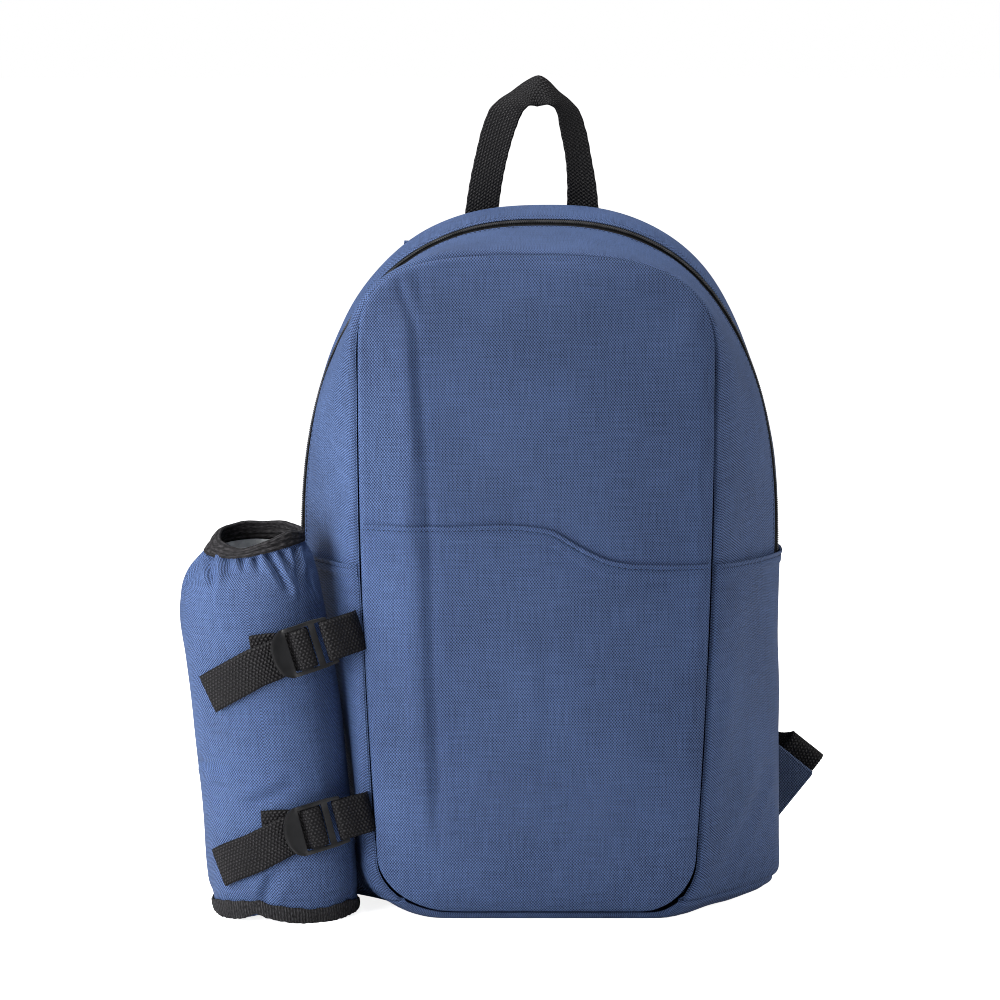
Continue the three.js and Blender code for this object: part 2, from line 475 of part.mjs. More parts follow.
// Side pockets: one cloth over each lower side, open at its hem.
for (const side of [1, -1]) {
  const ys = [...Y_FRONT, ...yRear(ZIP_Y[0])];
  // the wall under the cloth is flat between its stations, and the cloth lies on it
  const onWall = (y, t, out) => {
    const at = [seamT(y, side) + 0.0016, ...sideRange];
    const k = at.findIndex((q) => q >= t), a = at[k - 1], b = at[k], f = (t - a) / (b - a);
    const p = skin(sAtY(y), side * a, out), q = skin(sAtY(y), side * b, out);
    return [lerp(p[0], q[0], f), lerp(p[1], q[1], f), lerp(p[2], q[2], f)];
  };
  const hem = (y) => tAtZ(sAtY(y), lerp(SIDE_HEM_Z.front, SIDE_HEM_Z.back, shareOfDepth(y)), side);
  const inner = sideRange.filter((t) => t < Math.min(...ys.map(hem)) - 0.01);
  const rows = [(y) => seamT(y, side) + 0.004, ...inner.map((t) => () => t), hem];
  if (side < 0) rows.reverse();      // in the wall's own order
  const grid = (out) => rows.map((row) => ys.map((y) => onWall(y, row(y), out + 0.1)));
  add(body, side > 0 ? 'side_pocket_right' : 'side_pocket_left', wall(grid(GAP + CLOTH), grid(GAP)), BLUE_POCKET);
}
// The zip's slider, at the left end of the zip.
{
  const s = new THREE.Shape([new THREE.Vector2(-3, -6), new THREE.Vector2(3, -6), new THREE.Vector2(4, 3), new THREE.Vector2(2, 6), new THREE.Vector2(-2, 6), new THREE.Vector2(-4, 3)]);
  const g = new THREE.ExtrudeGeometry(s, { depth: 2.4, bevelEnabled: false });
  g.deleteAttribute('normal'); g.deleteAttribute('uv');
  const p = skin(sAtY(17.2), -(T_ZIP + 0.022), 2.0), q = skin(sAtY(17.2), -(T_ZIP + 0.037), 2.0);
  const up = V(q[0] - p[0], 0, q[2] - p[2]).normalize();
  const out = V(-up.z, 0, up.x).normalize();          // away from the pack, on its left side
  const m = add(body, 'zip_slider', g, PLASTIC);
  m.quaternion.setFromRotationMatrix(new THREE.Matrix4().makeBasis(up.clone().cross(out), up, out));
  m.position.set(p[0], p[1], p[2]);
}

// ------------------------------------------------------------------ the grab handle
add(pack, 'grab_handle', ribbon(HANDLE.map((r) => {
  const o = V(r.xo, r.yo, r.zo), i = V(r.xi, r.yi, r.zi);
  return { p: o.clone().add(i).multiplyScalar(0.5), b: o.clone().sub(i), w: o.distanceTo(i), t: HANDLE_T };
})), BLACK_WEB);

// ------------------------------------------------------------------ shoulder straps
{
  const pad = ribbon(PAD.map((r, i) => {
    const a = PAD[Math.max(0, i - 1)], b = PAD[Math.min(PAD.length - 1, i + 1)];
    const T = V(b.x - a.x, b.y - a.y, b.z - a.z).normalize();
    return { p: V(r.x, r.y, r.z), b: V(0, 1, 0).cross(T), w: 2 * r.hw, t: r.t };
  }));
  // the webbing from the tab, behind the adjuster's rails and over its middle bar, to the pad
  const A = ADJUSTER, C = V(A.x, A.y, A.z), last = PAD[PAD.length - 1], prev = PAD[PAD.length - 2];
  const end = V(last.x, last.y, last.z).addScaledVector(V(last.x - prev.x, last.y - prev.y, last.z - prev.z).normalize(), 3.6);
  const T = V(end.x - C.x, 0, end.z - C.z).normalize(), B = V(-T.z, 0, T.x), N = V(0, 1, 0);
  const over = A.t / 2 + 0.35 + WEB_T / 2, mid = (A.slot[0] + A.slot[1]) / 2;
  const half = [[13, -over], [7.2, -over], [mid + 0.9, -over + 0.2], [mid, -0.9], [mid, 0.9], [mid - 0.9, over - 0.15], [mid - 2.2, over]];
  const weave = [...half.map(([v, n]) => [-v, n]), ...[...half].reverse()];
  const web = ribbon([
    ...STRAP_WEB.map((r) => ({ p: V(r.x, r.y, r.z), b: V(r.bx, r.by, r.bz), w: WEB, t: WEB_T })),
    ...weave.map(([v, n]) => ({ p: C.clone().addScaledVector(T, v).addScaledVector(N, n), b: B, w: WEB, t: WEB_T })),
    { p: end, b: B, w: WEB, t: WEB_T },
  ]);
  const tab = new THREE.ExtrudeGeometry(new THREE.Shape(TAB.map(([x, z]) => new THREE.Vector2(x, z))), { depth: TAB_Y[1] - TAB_Y[0], bevelEnabled: false });
  tab.deleteAttribute('normal'); tab.deleteAttribute('uv');
  tab.rotateX(Math.PI / 2);
  tab.translate(0, TAB_Y[1], 0);
  const adjuster = slotted(new THREE.BoxGeometry(A.w, A.l, A.t), [1, -1].map((k) => ({ x: [-A.inner, A.inner], y: [k * A.slot[0], k * A.slot[1]].sort((p, q) => p - q) })), A.t);
  adjuster.applyMatrix4(new THREE.Matrix4().makeBasis(T.clone().cross(N), T, N).setPosition(C));
  for (const side of ['right', 'left']) {
    const geo = (g) => { if (side === 'right') return g.clone(); const q = g.clone(); if (!q.getIndex()) q.setIndex(Array.from({ length: q.getAttribute('position').count }, (_, i) => i)); return mirrored(q); };
    const m = add(pack, `shoulder_pad_${side}`, geo(pad), BLUE);
    if (side === 'left') m.position.set(-1.5, 0, 2);     // sits a little higher and further out
    add(pack, `strap_webbing_${side}`, geo(web), BLACK_WEB);
    add(pack, `strap_tab_${side}`, geo(tab), BLUE);
    add(pack, `strap_adjuster_${side}`, geo(adjuster), PLASTIC);
  }
}

// ------------------------------------------------------------------ the bottle sleeve
const sleeve = new THREE.Group();
pack.add(sleeve);
// A point of the sleeve's outer surface, phi from the front towards the pack, moved out by lift.
function onSleeve(phi, h, lift = 0) {
  const [cx, cy, a, b, fore, side] = ['cx', 'cy', 'a', 'b', 'fore', 'side'].map((k) => table(SLEEVE, 'z', h, k));
  const e = [Math.sin(phi) * a, -Math.cos(phi) * b];
  const n = V(Math.sin(phi) / a, -Math.cos(phi) / b, 0).normalize();
  const z = h + Math.tan(rad(fore)) * e[1] + Math.tan(rad(side)) * e[0];
  return V(cx + e[0], cy + e[1], z).addScaledVector(n, lift);
}
const around = (n) => Array.from({ length: n }, (_, i) => (2 * Math.PI * i) / n);
const thick = (h) => lerp(SLEEVE_WALL.body, SLEEVE_WALL.mouth, smooth((h - SLEEVE_WALL.from) / SLEEVE_WALL.over));
const shell = (n, hs, out, inn) => wall(...[out, inn].map((lift) => around(n).map((p) => hs.map((h) => onSleeve(p, h, lift(h)).toArray()))), true);
add(sleeve, 'bottle_sleeve', shell(36, [0.8, 12, 60, 110, 160, 198, 212, 221, SLEEVE_TOP], () => 0, (h) => -thick(h)), BLUE);
add(sleeve, 'sleeve_lining', shell(28, [4.2, 60, 110, 160, 198, 212, 221, RIM_INSIDE - 0.8], (h) => -thick(h) - 0.6, (h) => -thick(h) - 1.3), FOIL);
{
  // the binding wraps the sleeve's edge: outside just above the cloth, inside down past it
  const inside = -SLEEVE_WALL.mouth - 0.45, top = RIM_TOP;
  const profile = [[0.8, SLEEVE_TOP + 0.5], [1.2, SLEEVE_TOP + 3], [0.6, top - 1], [-0.5, top], [-1.6, top], [-2.6, top - 1.2], [-2.9, RIM_INSIDE], [inside, RIM_INSIDE], [inside, SLEEVE_TOP + 0.5]];
  const rows = around(32);
  add(sleeve, 'sleeve_rim', ring(32, profile.length, (i, j) => onSleeve(rows[i], profile[j][1], profile[j][0]).toArray()), BINDING);
}
add(sleeve, 'sleeve_hem', shell(36, [0, 3, HEM_H - 1.5, HEM_H], () => 1.6, () => 0.5), BINDING);
{
  const rim = around(36).map((p) => onSleeve(p, 1, -SLEEVE_WALL.body - 0.5));
  const g = new THREE.ExtrudeGeometry(new THREE.Shape(rim.map((p) => new THREE.Vector2(p.x, p.y))), { depth: 2.6, bevelEnabled: false });
  g.deleteAttribute('normal'); g.deleteAttribute('uv');
  add(sleeve, 'sleeve_base', g, BLUE).position.z = 0.9;
}

// ------------------------------------------------------------------ the sleeve's straps and buckles
for (const st of STRAPS) {
  const tab = onSleeve(rad(st.tab.phi), st.tab.h, BUCKLE.lift);
  const far = V(st.far.x, st.far.y, st.far.z);
  const U = far.clone().sub(tab).normalize();
  const N = V(0, -1, 0).addScaledVector(U, U.y).normalize();      // away from the sleeve
  const W = N.clone().cross(U).normalize();                        // up, across the webbing
  const O = tab.clone().addScaledVector(U, -BUCKLE.tab);
  const local = (u, v, n) => O.clone().addScaledVector(U, u).addScaledVector(W, v).addScaledVector(N, n);

  // the buckle: lift tab, two bars and an end bar between side rails
  const B = BUCKLE, outline = [];
  const c = -B.tab + B.slot1[0];                                  // the tab's length
  for (let i = 0; i <= 10; i++) {
    const a = Math.PI / 2 + (Math.PI * i) / 10;
    outline.push(new THREE.Vector2(B.slot1[0] + c * Math.cos(a) * 0.98, (B.half - 0.6) * Math.sin(a)));
  }
  outline.push(new THREE.Vector2(B.end - 1.5, -B.half), new THREE.Vector2(B.end, -B.half + 1.5), new THREE.Vector2(B.end, B.half - 1.5), new THREE.Vector2(B.end - 1.5, B.half));
  const blank = new THREE.ExtrudeGeometry(new THREE.Shape(outline), { depth: B.t, bevelEnabled: false });
  blank.translate(0, 0, -B.t / 2);
  const plateGeom = slotted(blank, [B.slot1, B.slot2, B.slot3].map((x) => ({ x, y: [-B.inner, B.inner] })), B.t);
  const m = add(sleeve, `${st.name}_buckle`, plateGeom, PLASTIC);
  m.quaternion.setFromRotationMatrix(new THREE.Matrix4().makeBasis(U, W, N));
  m.position.copy(O);

  // the sleeve's webbing: sewn end, up round the first bar, and its tail
  const top = B.t / 2 + 0.42 + WEB_T / 2;
  const stations = [];
  const station = (p, b = W) => stations.push({ p, b, w: WEB - 0.4, t: WEB_T });
  const bend = (u, n) => station(local(u, 0, n));
  // the sleeve under the buckle: phi where the surface is abreast of u
  const phiAt = (u, v) => {
    const at = local(u, v, 0);
    let lo = -60, hi = 85;
    for (let k = 0; k < 40; k++) { const m = (lo + hi) / 2; if (onSleeve(rad(m), at.z).sub(at).dot(U) < 0) lo = m; else hi = m; }
    return [rad(lo), at.z];
  };
  // flat on the sleeve, going along t: its width lies in the surface
  const laid = (phi, h, lift, t) => {
    const up = onSleeve(phi, h + 6).sub(onSleeve(phi, h - 6)), round = onSleeve(phi + 0.02, h).sub(onSleeve(phi - 0.02, h));
    const b = round.cross(up).cross(t);
    station(onSleeve(phi, h, lift), b.dot(W) < 0 ? b.negate() : b);
  };
  laid(rad(st.sewn.phi), st.sewn.h, 1.2, V(1, 0, 0));
  for (const u of [-26, -22, -19.5, -16, -12, -8, -4]) laid(...phiAt(u, 1.6 * smooth((-u - 8) / 14)), 1.2 + 0.5 * smooth((u + 9) / 5), U);
  bend(1.2, -3.6); bend(3.4, -2.8); bend(4.5, -1.3); bend(4.5, 0.6); bend(3.7, top - 0.3); bend(2.2, top + 0.1);
  bend(-4.2, top + 0.1); bend(-5.7, top - 0.3); bend(-6.5, 0.6); bend(-6.6, -0.9); bend(-7.7, -2.2); bend(-10.2, -2.5);
  for (const u of [-14, -18]) laid(...phiAt(u, 0.16 * (u + 10)), 2.9, U);
  st.tail.forEach((r, i) => {
    const c = (k) => { const q = st.tail[Math.min(st.tail.length - 1, Math.max(0, k))]; return onSleeve(rad(q.phi), q.h, 2.9); };
    laid(rad(r.phi), r.h, 2.9, c(i + 1).sub(c(i - 1)));
  });
  add(sleeve, `${st.name}_sleeve_webbing`, ribbon(stations), BLACK_WEB);

  // the anchor webbing: out of the pack's seam, round the end bar and back, in two layers
  const seam = V(st.seam.x, st.seam.y, st.seam.z);
  const loop = [];
  const web = (p) => loop.push({ p, b: W, w: WEB, t: WEB_T });
  const toward = (f, n) => local(B.end, 0, n).lerp(seam.clone().addScaledVector(N, n * 0.42), f);
  web(toward(0.97, top)); web(toward(0.5, top)); web(local(B.end, 0, top + 0.1)); web(local(B.slot3[1] - 0.2, 0, top + 0.1)); web(local(B.slot3[1] - 1.4, 0, top - 0.3));
  web(local(B.slot3[1] - 2, 0, 0.7)); web(local(B.slot3[1] - 2, 0, -0.7)); web(local(B.slot3[1] - 1.4, 0, -top + 0.3)); web(local(B.slot3[1] - 0.2, 0, -top - 0.1)); web(local(B.end, 0, -top - 0.1));
  web(toward(0.5, -top)); web(toward(0.97, -top));
  add(sleeve, `${st.name}_anchor_webbing`, ribbon(loop), BLACK_WEB);
}

export default pack;
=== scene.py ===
# The looks of a cooler backpack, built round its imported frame. Lengths here are in millimetres until a
# mesh is made; +X right, +Y from the front to the back, +Z up, as in the frame.
import math

import bpy
import numpy as np
from mathutils import Matrix, Vector


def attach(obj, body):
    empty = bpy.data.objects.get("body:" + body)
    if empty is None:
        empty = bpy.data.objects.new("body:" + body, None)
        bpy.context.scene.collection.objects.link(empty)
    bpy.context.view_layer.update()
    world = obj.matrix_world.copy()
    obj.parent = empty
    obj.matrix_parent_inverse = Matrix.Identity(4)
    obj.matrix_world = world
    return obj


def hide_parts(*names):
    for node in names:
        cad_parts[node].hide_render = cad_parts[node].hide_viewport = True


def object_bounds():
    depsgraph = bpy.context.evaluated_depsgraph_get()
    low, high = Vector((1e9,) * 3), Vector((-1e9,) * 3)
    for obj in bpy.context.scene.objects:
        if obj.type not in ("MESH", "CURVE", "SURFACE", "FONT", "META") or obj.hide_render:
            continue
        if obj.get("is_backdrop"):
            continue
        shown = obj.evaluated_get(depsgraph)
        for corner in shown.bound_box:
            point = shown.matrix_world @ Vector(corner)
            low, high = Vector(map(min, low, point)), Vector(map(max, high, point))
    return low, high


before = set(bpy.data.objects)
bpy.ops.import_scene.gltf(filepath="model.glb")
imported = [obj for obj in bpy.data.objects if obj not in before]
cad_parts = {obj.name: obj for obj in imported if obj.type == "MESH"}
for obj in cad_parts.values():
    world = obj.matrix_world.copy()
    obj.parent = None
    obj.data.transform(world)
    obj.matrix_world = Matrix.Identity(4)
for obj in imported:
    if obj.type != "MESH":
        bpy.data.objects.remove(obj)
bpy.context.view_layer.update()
FINE = 0.8

# ------------------------------------------------------------------ camera
ELEV, DIST, TARGET, FOCAL = math.radians(7), 2400.0, np.array([-25.0, 0.0, 251.756]), 3840.0
FWD = np.array([0, math.cos(ELEV), -math.sin(ELEV)])
UPV = np.array([0, math.sin(ELEV), math.cos(ELEV)])
EYE = TARGET - FWD * DIST
cam_data = bpy.data.cameras.new("camera")
cam_data.sensor_width = 36
cam_data.lens = FOCAL * 36 / 1000
cam_data.clip_end = 200
cam = bpy.data.objects.new("camera", cam_data)
bpy.context.scene.collection.objects.link(cam)
cam.location = Vector(EYE / 1000)
cam.rotation_euler = Vector(FWD).to_track_quat("-Z", "Y").to_euler()
bpy.context.scene.camera = cam
bpy.context.scene.view_settings.view_transform = "Standard"
bpy.context.scene.cycles.filter_width = 1.0


def seen_at(P):
    """Where points fall in the picture, in its 1000 by 1000 frame."""
    d = P - EYE
    f = d @ FWD
    return 500 + FOCAL * d[..., 0] / f, 500 - FOCAL * (d @ UPV) / f


# ------------------------------------------------------------------ the named sizes of the frame
WALL, BACK_PAD, CLOTH, GAP, Y_BACK, PACK_H, LEAN = 3.0, 4.0, 1.2, 0.4, 72.4, 432.0, 0.13
FRONT_BULGE, ZIP_Y, ZIP_END_Z, WEB, WEB_T, HANDLE_T = 8.0, (12.4, 22.0), 217.0, 25.0, 1.2, 1.6
SECTION_COLUMNS = "y dx w zw top n nl wl rb wb wbl bot".split()
SECTIONS = [dict(zip(SECTION_COLUMNS, row)) for row in (
    (-70, -3, 108.5, 345, 407.6, 2.7, 3.3, 98.5, 36, 64, 48, 5),
    (-63, -2.6, 113.5, 331, 409.6, 2.67, 3.1, 103.5, 36, 75, 54, 0),
    (-48, -2, 123, 302, 413.4, 2.6, 2.8, 114.5, 32, 90, 66, 0),
    (-18, -1, 137.5, 255, 419.2, 2.5, 2.55, 134, 26, 115, 97, 0),
    (14, 0, 149, 217, 423.6, 2.45, 2.45, 150, 22, 135, 126, 0),
    (44, 0, 151.5, 205, 430.4, 2.53, 2.53, 152.5, 20, 143.5, 140, 0),
    (Y_BACK, 0, 149.5, 205, PACK_H, 2.55, 2.55, 150, 19, 144, 144, 0),
)]
SKEW = dict(x=2.5, z=(330, 430), y=(-20, 40))
CORNER_T = 0.24
BASE_SEAM_Z = (11, 7)
DENT = dict(depth=15.5, z=46, zs=98, y=-27, ys=26, x=(70, 120))
POCKET_EDGE = np.array([(-120, 245), (-60, 244.2), (-4, 243.9), (6, 242), (19, 234.6), (29, 229), (39, 224.4), (50, 221.8), (66, 220.6), (120, 220.6)])
SIDE_HEM_Z = (220, 216)
SLEEVE = np.array([
    (0, -157.5, 43.6, 37, 0, 0), (12, -158.6, 44.8, 38, 0, 0), (60, -163, 45.8, 38.5, 0, 0), (110, -167.8, 46, 38.5, 0, 0),
    (160, -173.6, 45.2, 38, 0.5, 0.3), (198, -178.4, 43.8, 37, 4, 3.5), (212, -178.9, 41, 34, 6, 5.2),
    (221, -177.8, 36.6, 30, 7.2, 6), (228, -176.2, 30.8, 25.3, 8, 6.3), (237, -172.1, 25.5, 20.5, 13, 3.5)])   # z cx a b fore side
SLEEVE_CY = -43.0
SLEEVE_TOP, RIM_TOP, RIM_INSIDE, HEM_H = 228.0, 236.5, 225.5, 12.0
STRAPS = (
    dict(name="upper", tab=(13.2, 165.6), far=(-127.5, -78, 175.9), seam=(-110.8, -67.5, 180), sewn=(-9.5, 167.2),
         tail=((0, 159.6), (-9, 155.6), (-20, 150.6), (-31, 145.8), (-41, 141.4))),
    dict(name="lower", tab=(7.2, 56), far=(-121, -77.5, 65), seam=(-104.6, -69.5, 68), sewn=(-13, 58.8),
         tail=((-6, 49.2), (-16, 45), (-28, 40.8), (-40, 36.6), (-50, 32.8))),
)
BUCKLE = dict(tab=-20.0, slot1=(-8.5, -4.5), slot2=(2.5, 6.5), slot3=(10.5, 14.5), end=18.5, half=15.2, inner=13.0, t=2.4, lift=5.9)
HANDLE = (   # outer edge, inner edge
    (-50, 78.2, 401, -28, 78.2, 404), (-47.6, 78.4, 425, -26, 78.4, 429), (-44.4, 79.5, 446, -23, 77, 449.5),
    (-39.8, 81, 467, -18.8, 76, 468), (-35.2, 82, 484, -14.6, 75, 481.5), (-29.5, 82.5, 495.5, -10.6, 73.5, 491),
    (-18, 83, 504, -6.6, 70, 495.4), (0.8, 83, 514.3, -0.8, 72, 495.2), (12.5, 83, 504.4, 5.2, 70, 496.2),
    (23.4, 82.5, 494.6, 10.2, 73, 493), (29.2, 82, 481.3, 13.4, 75, 479), (33.1, 81, 462.8, 16.6, 76, 462.8),
    (36.3, 79.5, 445.6, 17.8, 77, 447.6), (38.3, 78.4, 427, 17.8, 78.4, 429), (40, 78.2, 403, 18, 78.2, 401))
PAD = np.array([   # x y z half width, thickness
    (56, 83.5, 405.5, 29, 7), (56.5, 88, 396, 29.5, 9), (58, 97, 368, 30, 9), (61, 105, 330, 30, 9), (65.5, 109, 285, 29.5, 9),
    (71.5, 109, 240, 28.5, 9), (79, 106, 200, 26.5, 9), (88, 102, 163, 22, 8), (94.5, 99.5, 141, 16.5, 6)])
STRAP_WEB = (   # centre line, width direction
    (168.6, 78.2, 72.0, 0.79, 0, -0.61), (172.2, 78.3, 76.7, 0.79, 0, -0.61), (174.9, 79.7, 80.1, 0.79, 0, -0.61),
    (176.0, 82.6, 81.6, 0.78, 0, -0.62), (175.0, 85.8, 80.6, 0.75, 0, -0.66), (171.5, 88.4, 78.4, 0.66, 0.05, -0.75),
    (163, 91.5, 76, 0.42, 0.1, -0.9), (150, 94.5, 77, 0.08, 0.08, -0.99), (136, 97, 84, -0.35, 0, -0.93), (122, 98.0, 96, -0.68, 0, -0.73))
ADJUSTER = dict(c=(108.5, 99.6, 115.5), w=30.0, l=18.0, t=2.2, slot=(3.0, 6.5), inner=13.2)
TAB = ((140, 92), (158.2, 79.6), (177.9, 63.6), (178.0, 61.8), (156.6, 34.7), (140, 16))
TAB_Y = (76.9, 79.5)


# ------------------------------------------------------------------ small maths
def lerp(a, b, t):
    return a + (b - a) * t


def smooth(t):
    q = np.clip(t, 0, 1)
    return q * q * (3 - 2 * q)


def unit(v):
    return v / np.maximum(1e-12, np.linalg.norm(v, axis=-1, keepdims=True))


def vec(*a):
    return np.array(a, float)


def catmull(a, b, c, d, t):
    return 0.5 * (2 * b + (c - a) * t + (2 * a - 5 * b + 4 * c - d) * t * t + (3 * b - a - 3 * c + d) * t ** 3)


def curve(xs, ys, x):
    """A smooth line through (xs, ys); ys may have columns."""
    xs, ys, x = np.asarray(xs, float), np.asarray(ys, float), np.asarray(x, float)
    slope = np.empty_like(ys)
    d = np.diff(ys, axis=0) / (np.diff(xs)[:, None] if ys.ndim > 1 else np.diff(xs))
    slope[0], slope[-1] = d[0], d[-1]
    w = np.diff(xs)
    a, b = w[1:], w[:-1]
    if ys.ndim > 1:
        a, b = a[:, None], b[:, None]
    slope[1:-1] = (d[:-1] * a + d[1:] * b) / (a + b)
    i = np.clip(np.searchsorted(xs, x, side="right") - 1, 0, len(xs) - 2)
    h = xs[i + 1] - xs[i]
    t = np.clip((x - xs[i]) / h, 0, 1)
    if ys.ndim > 1:
        h, t = h[..., None], t[..., None]
    return ((1 + 2 * t) * (1 - t) ** 2) * ys[i] + (t * (1 - t) ** 2) * h * slope[i] + (t * t * (3 - 2 * t)) * ys[i + 1] + (t * t * (t - 1)) * h * slope[i + 1]


def along(points, step):
    """Points resampled at even steps on a smooth line through them."""
    p = np.asarray(points, float)
    at = np.concatenate([[0], np.cumsum(np.linalg.norm(np.diff(p, axis=0), axis=1))])
    fine = curve(at, p, np.linspace(0, at[-1], 40 * len(p)))
    d = np.concatenate([[0], np.cumsum(np.linalg.norm(np.diff(fine, axis=0), axis=1))])
    n = max(2, int(round(d[-1] / step)) + 1)
    want = np.linspace(0, d[-1], n)
    return np.stack([np.interp(want, d, fine[:, k]) for k in range(3)], 1), d[-1]


RNG = np.random.default_rng(11)
WAVES = [(RNG.normal(size=3) / s, RNG.uniform(0, 6.28), a) for s, a in ((30, 0.5), (24, 0.4), (17, 0.26), (12, 0.16), (9, 0.1), (40, 0.5))]


def ripple(P):
    """A slow unevenness of cloth, about 0.5 mm either way."""
    out = 0
    for k, ph, a in WAVES:
        out = out + a * np.sin(P @ k + ph)
    return out


def near_line(px, py, pts):
    """Distance of points to a line in the picture, and the line's own value there."""
    best, val = np.full(px.shape, 1e9), np.zeros(px.shape)
    for (x0, y0, a0), (x1, y1, a1) in zip(pts[:-1], pts[1:]):
        dx, dy = x1 - x0, y1 - y0
        t = np.clip(((px - x0) * dx + (py - y0) * dy) / max(1e-9, dx * dx + dy * dy), 0, 1)
        d = np.hypot(px - x0 - t * dx, py - y0 - t * dy)
        closer = d < best
        best, val = np.where(closer, d, best), np.where(closer, a0 + (a1 - a0) * t, val)
    return best, val


def folds(P, N, lines):
    """Height of the folds seen in the picture, in mm, on the surface points P with normals N that face it."""
    px, py = seen_at(P)
    face = smooth((np.einsum("...k,...k", N, unit(EYE - P)) - 0.02) / 0.2)
    out = np.zeros(px.shape)
    for width, pts in lines:
        x = [p[0] for p in pts]
        y = [p[1] for p in pts]
        m = (px > min(x) - 4 * width) & (px < max(x) + 4 * width) & (py > min(y) - 4 * width) & (py < max(y) + 4 * width)
        if m.any():
            d, a = near_line(px[m], py[m], pts)
            out[m] += a * np.exp(-((d / width) ** 2))
    return out * face


# ------------------------------------------------------------------ the pack's outline, as in the frame
def by_length(points):
    p = np.array(points, float)
    d = np.concatenate([[0], np.cumsum(np.hypot(*np.diff(p, axis=0).T))])
    return d / d[-1], p


def half_outline(c, n, wb):
    lower = [(wb * i / 12, c["bot"]) for i in range(13)]
    lower += [(wb + (c["wl"] - wb) * math.sin(math.pi / 2 * i / 16), c["bot"] + c["rb"] * (1 - math.cos(math.pi / 2 * i / 16))) for i in range(1, 17)]
    z0 = c["bot"] + c["rb"]
    upper = [(c["wl"] + (c["w"] - c["wl"]) * (2 * q - q * q), z0 + (c["zw"] - z0) * q) for q in np.linspace(0, 1, 25)]
    for i in range(1, 91):
        a = math.pi / 2 * i / 90
        upper.append((c["w"] * max(0, math.cos(a)) ** (2 / n), c["zw"] + (c["top"] - c["zw"]) * math.sin(a) ** (2 / n)))
    return by_length(lower), by_length(upper)


ROWS = [(half_outline(c, c["n"], c["wb"]), half_outline(c, c["nl"], c["wbl"])) for c in SECTIONS]
SEC_Y = np.array([c["y"] for c in SECTIONS], float)


def row_point(k, t):
    a = np.abs(t)
    low = a <= CORNER_T
    f1, f2 = np.clip(a / CORNER_T, 0, 1), np.clip((a - CORNER_T) / (1 - CORNER_T), 0, 1)
    both = []
    for (d1, p1), (d2, p2) in ROWS[k]:
        both.append([np.where(low, np.interp(f1, d1, p1[:, c]), np.interp(f2, d2, p2[:, c])) for c in (0, 1)])
    (xr, zr), (xl, zl) = both
    return SECTIONS[k]["dx"] + np.where(t < 0, -xl, xr), np.where(t < 0, zl, zr)


def loft(s, t):
    s, t = np.broadcast_arrays(np.asarray(s, float), np.asarray(t, float))
    n = len(SECTIONS) - 1
    f = np.clip(s * n, 0, n - 1e-9)
    i = np.floor(f).astype(int)
    q = f - i
    P = np.array([row_point(k, t) for k in range(n + 1)])
    idx = [np.maximum(0, i - 1), i, i + 1, np.minimum(n, i + 2)]
    x = catmull(*[np.take_along_axis(P[:, 0], j[None], 0)[0] for j in idx], q)
    z = catmull(*[np.take_along_axis(P[:, 1], j[None], 0)[0] for j in idx], q)
    y = catmull(*[SEC_Y[j] for j in idx], q)
    return x, y, np.maximum(0, z)


_S = np.linspace(0, 1, 4001)
_Y = loft(_S, 0)[1]


def s_at(y):
    return np.interp(y, _Y, _S)


def t_at_z(y, z, side=1):
    y, z = np.broadcast_arrays(np.asarray(y, float), np.asarray(z, float))
    s, lo, hi = s_at(y), np.zeros(y.shape), np.ones(y.shape)
    for _ in range(30):
        m = (lo + hi) / 2
        less = loft(s, side * m)[2] < z
        lo, hi = np.where(less, m, lo), np.where(less, hi, m)
    return (lo + hi) / 2


def lean(x, y, z):
    y2 = np.where(y < Y_BACK, Y_BACK - (Y_BACK - y) * (1 - LEAN * (np.maximum(0, z) / PACK_H) ** 1.6), y)
    g = DENT["depth"] * np.exp(-(((z - DENT["z"]) / DENT["zs"]) ** 2)) * np.exp(-(((y - DENT["y"]) / DENT["ys"]) ** 2))
    k = SKEW["x"] * smooth((z - SKEW["z"][0]) / (SKEW["z"][1] - SKEW["z"][0])) * smooth((y - SKEW["y"][0]) / (SKEW["y"][1] - SKEW["y"][0]))
    return np.stack(np.broadcast_arrays(x + k + g * smooth((-x - DENT["x"][0]) / (DENT["x"][1] - DENT["x"][0])), y2, z), -1)


def skin(y, t, out=0.0):
    """The pack's surface at depth y, t from -1 (top middle) over the left side and the bottom to 1."""
    t = np.asarray(t, float)
    s = s_at(np.asarray(y, float))
    x, yy, z = loft(s, t)
    a, b = loft(s, np.maximum(-1, t - 0.006)), loft(s, np.minimum(1, t + 0.006))
    dx, dz = b[0] - a[0], b[2] - a[2]
    l = np.maximum(1e-9, np.hypot(dx, dz))
    return lean(x + dz / l * out, yy, z - dx / l * out)


def seam_share(y):
    return (np.asarray(y, float) - SEC_Y[0]) / (Y_BACK - SEC_Y[0])


def seam_t(y, side):
    return t_at_z(y, lerp(BASE_SEAM_Z[0], BASE_SEAM_Z[1], seam_share(y)), side)


def body(y, t):
    """Surface point and outward normal."""
    y, t = np.broadcast_arrays(np.asarray(y, float), np.asarray(t, float))
    P = skin(y, t)
    ya, yb = np.clip(y - 1.5, SEC_Y[0], Y_BACK), np.clip(y + 1.5, SEC_Y[0], Y_BACK)
    Py = skin(yb, t) - skin(ya, t)
    Pt = skin(y, np.minimum(1, t + 0.006)) - skin(y, np.maximum(-1, t - 0.006))
    N = unit(np.cross(Pt, Py))
    flip = np.einsum("...k,...k", N, P - vec(0, 0, 200) * (1, 0, 1) - vec(0, 1, 0) * P[..., 1:2]) < 0
    return P, np.where(flip[..., None], -N, N)


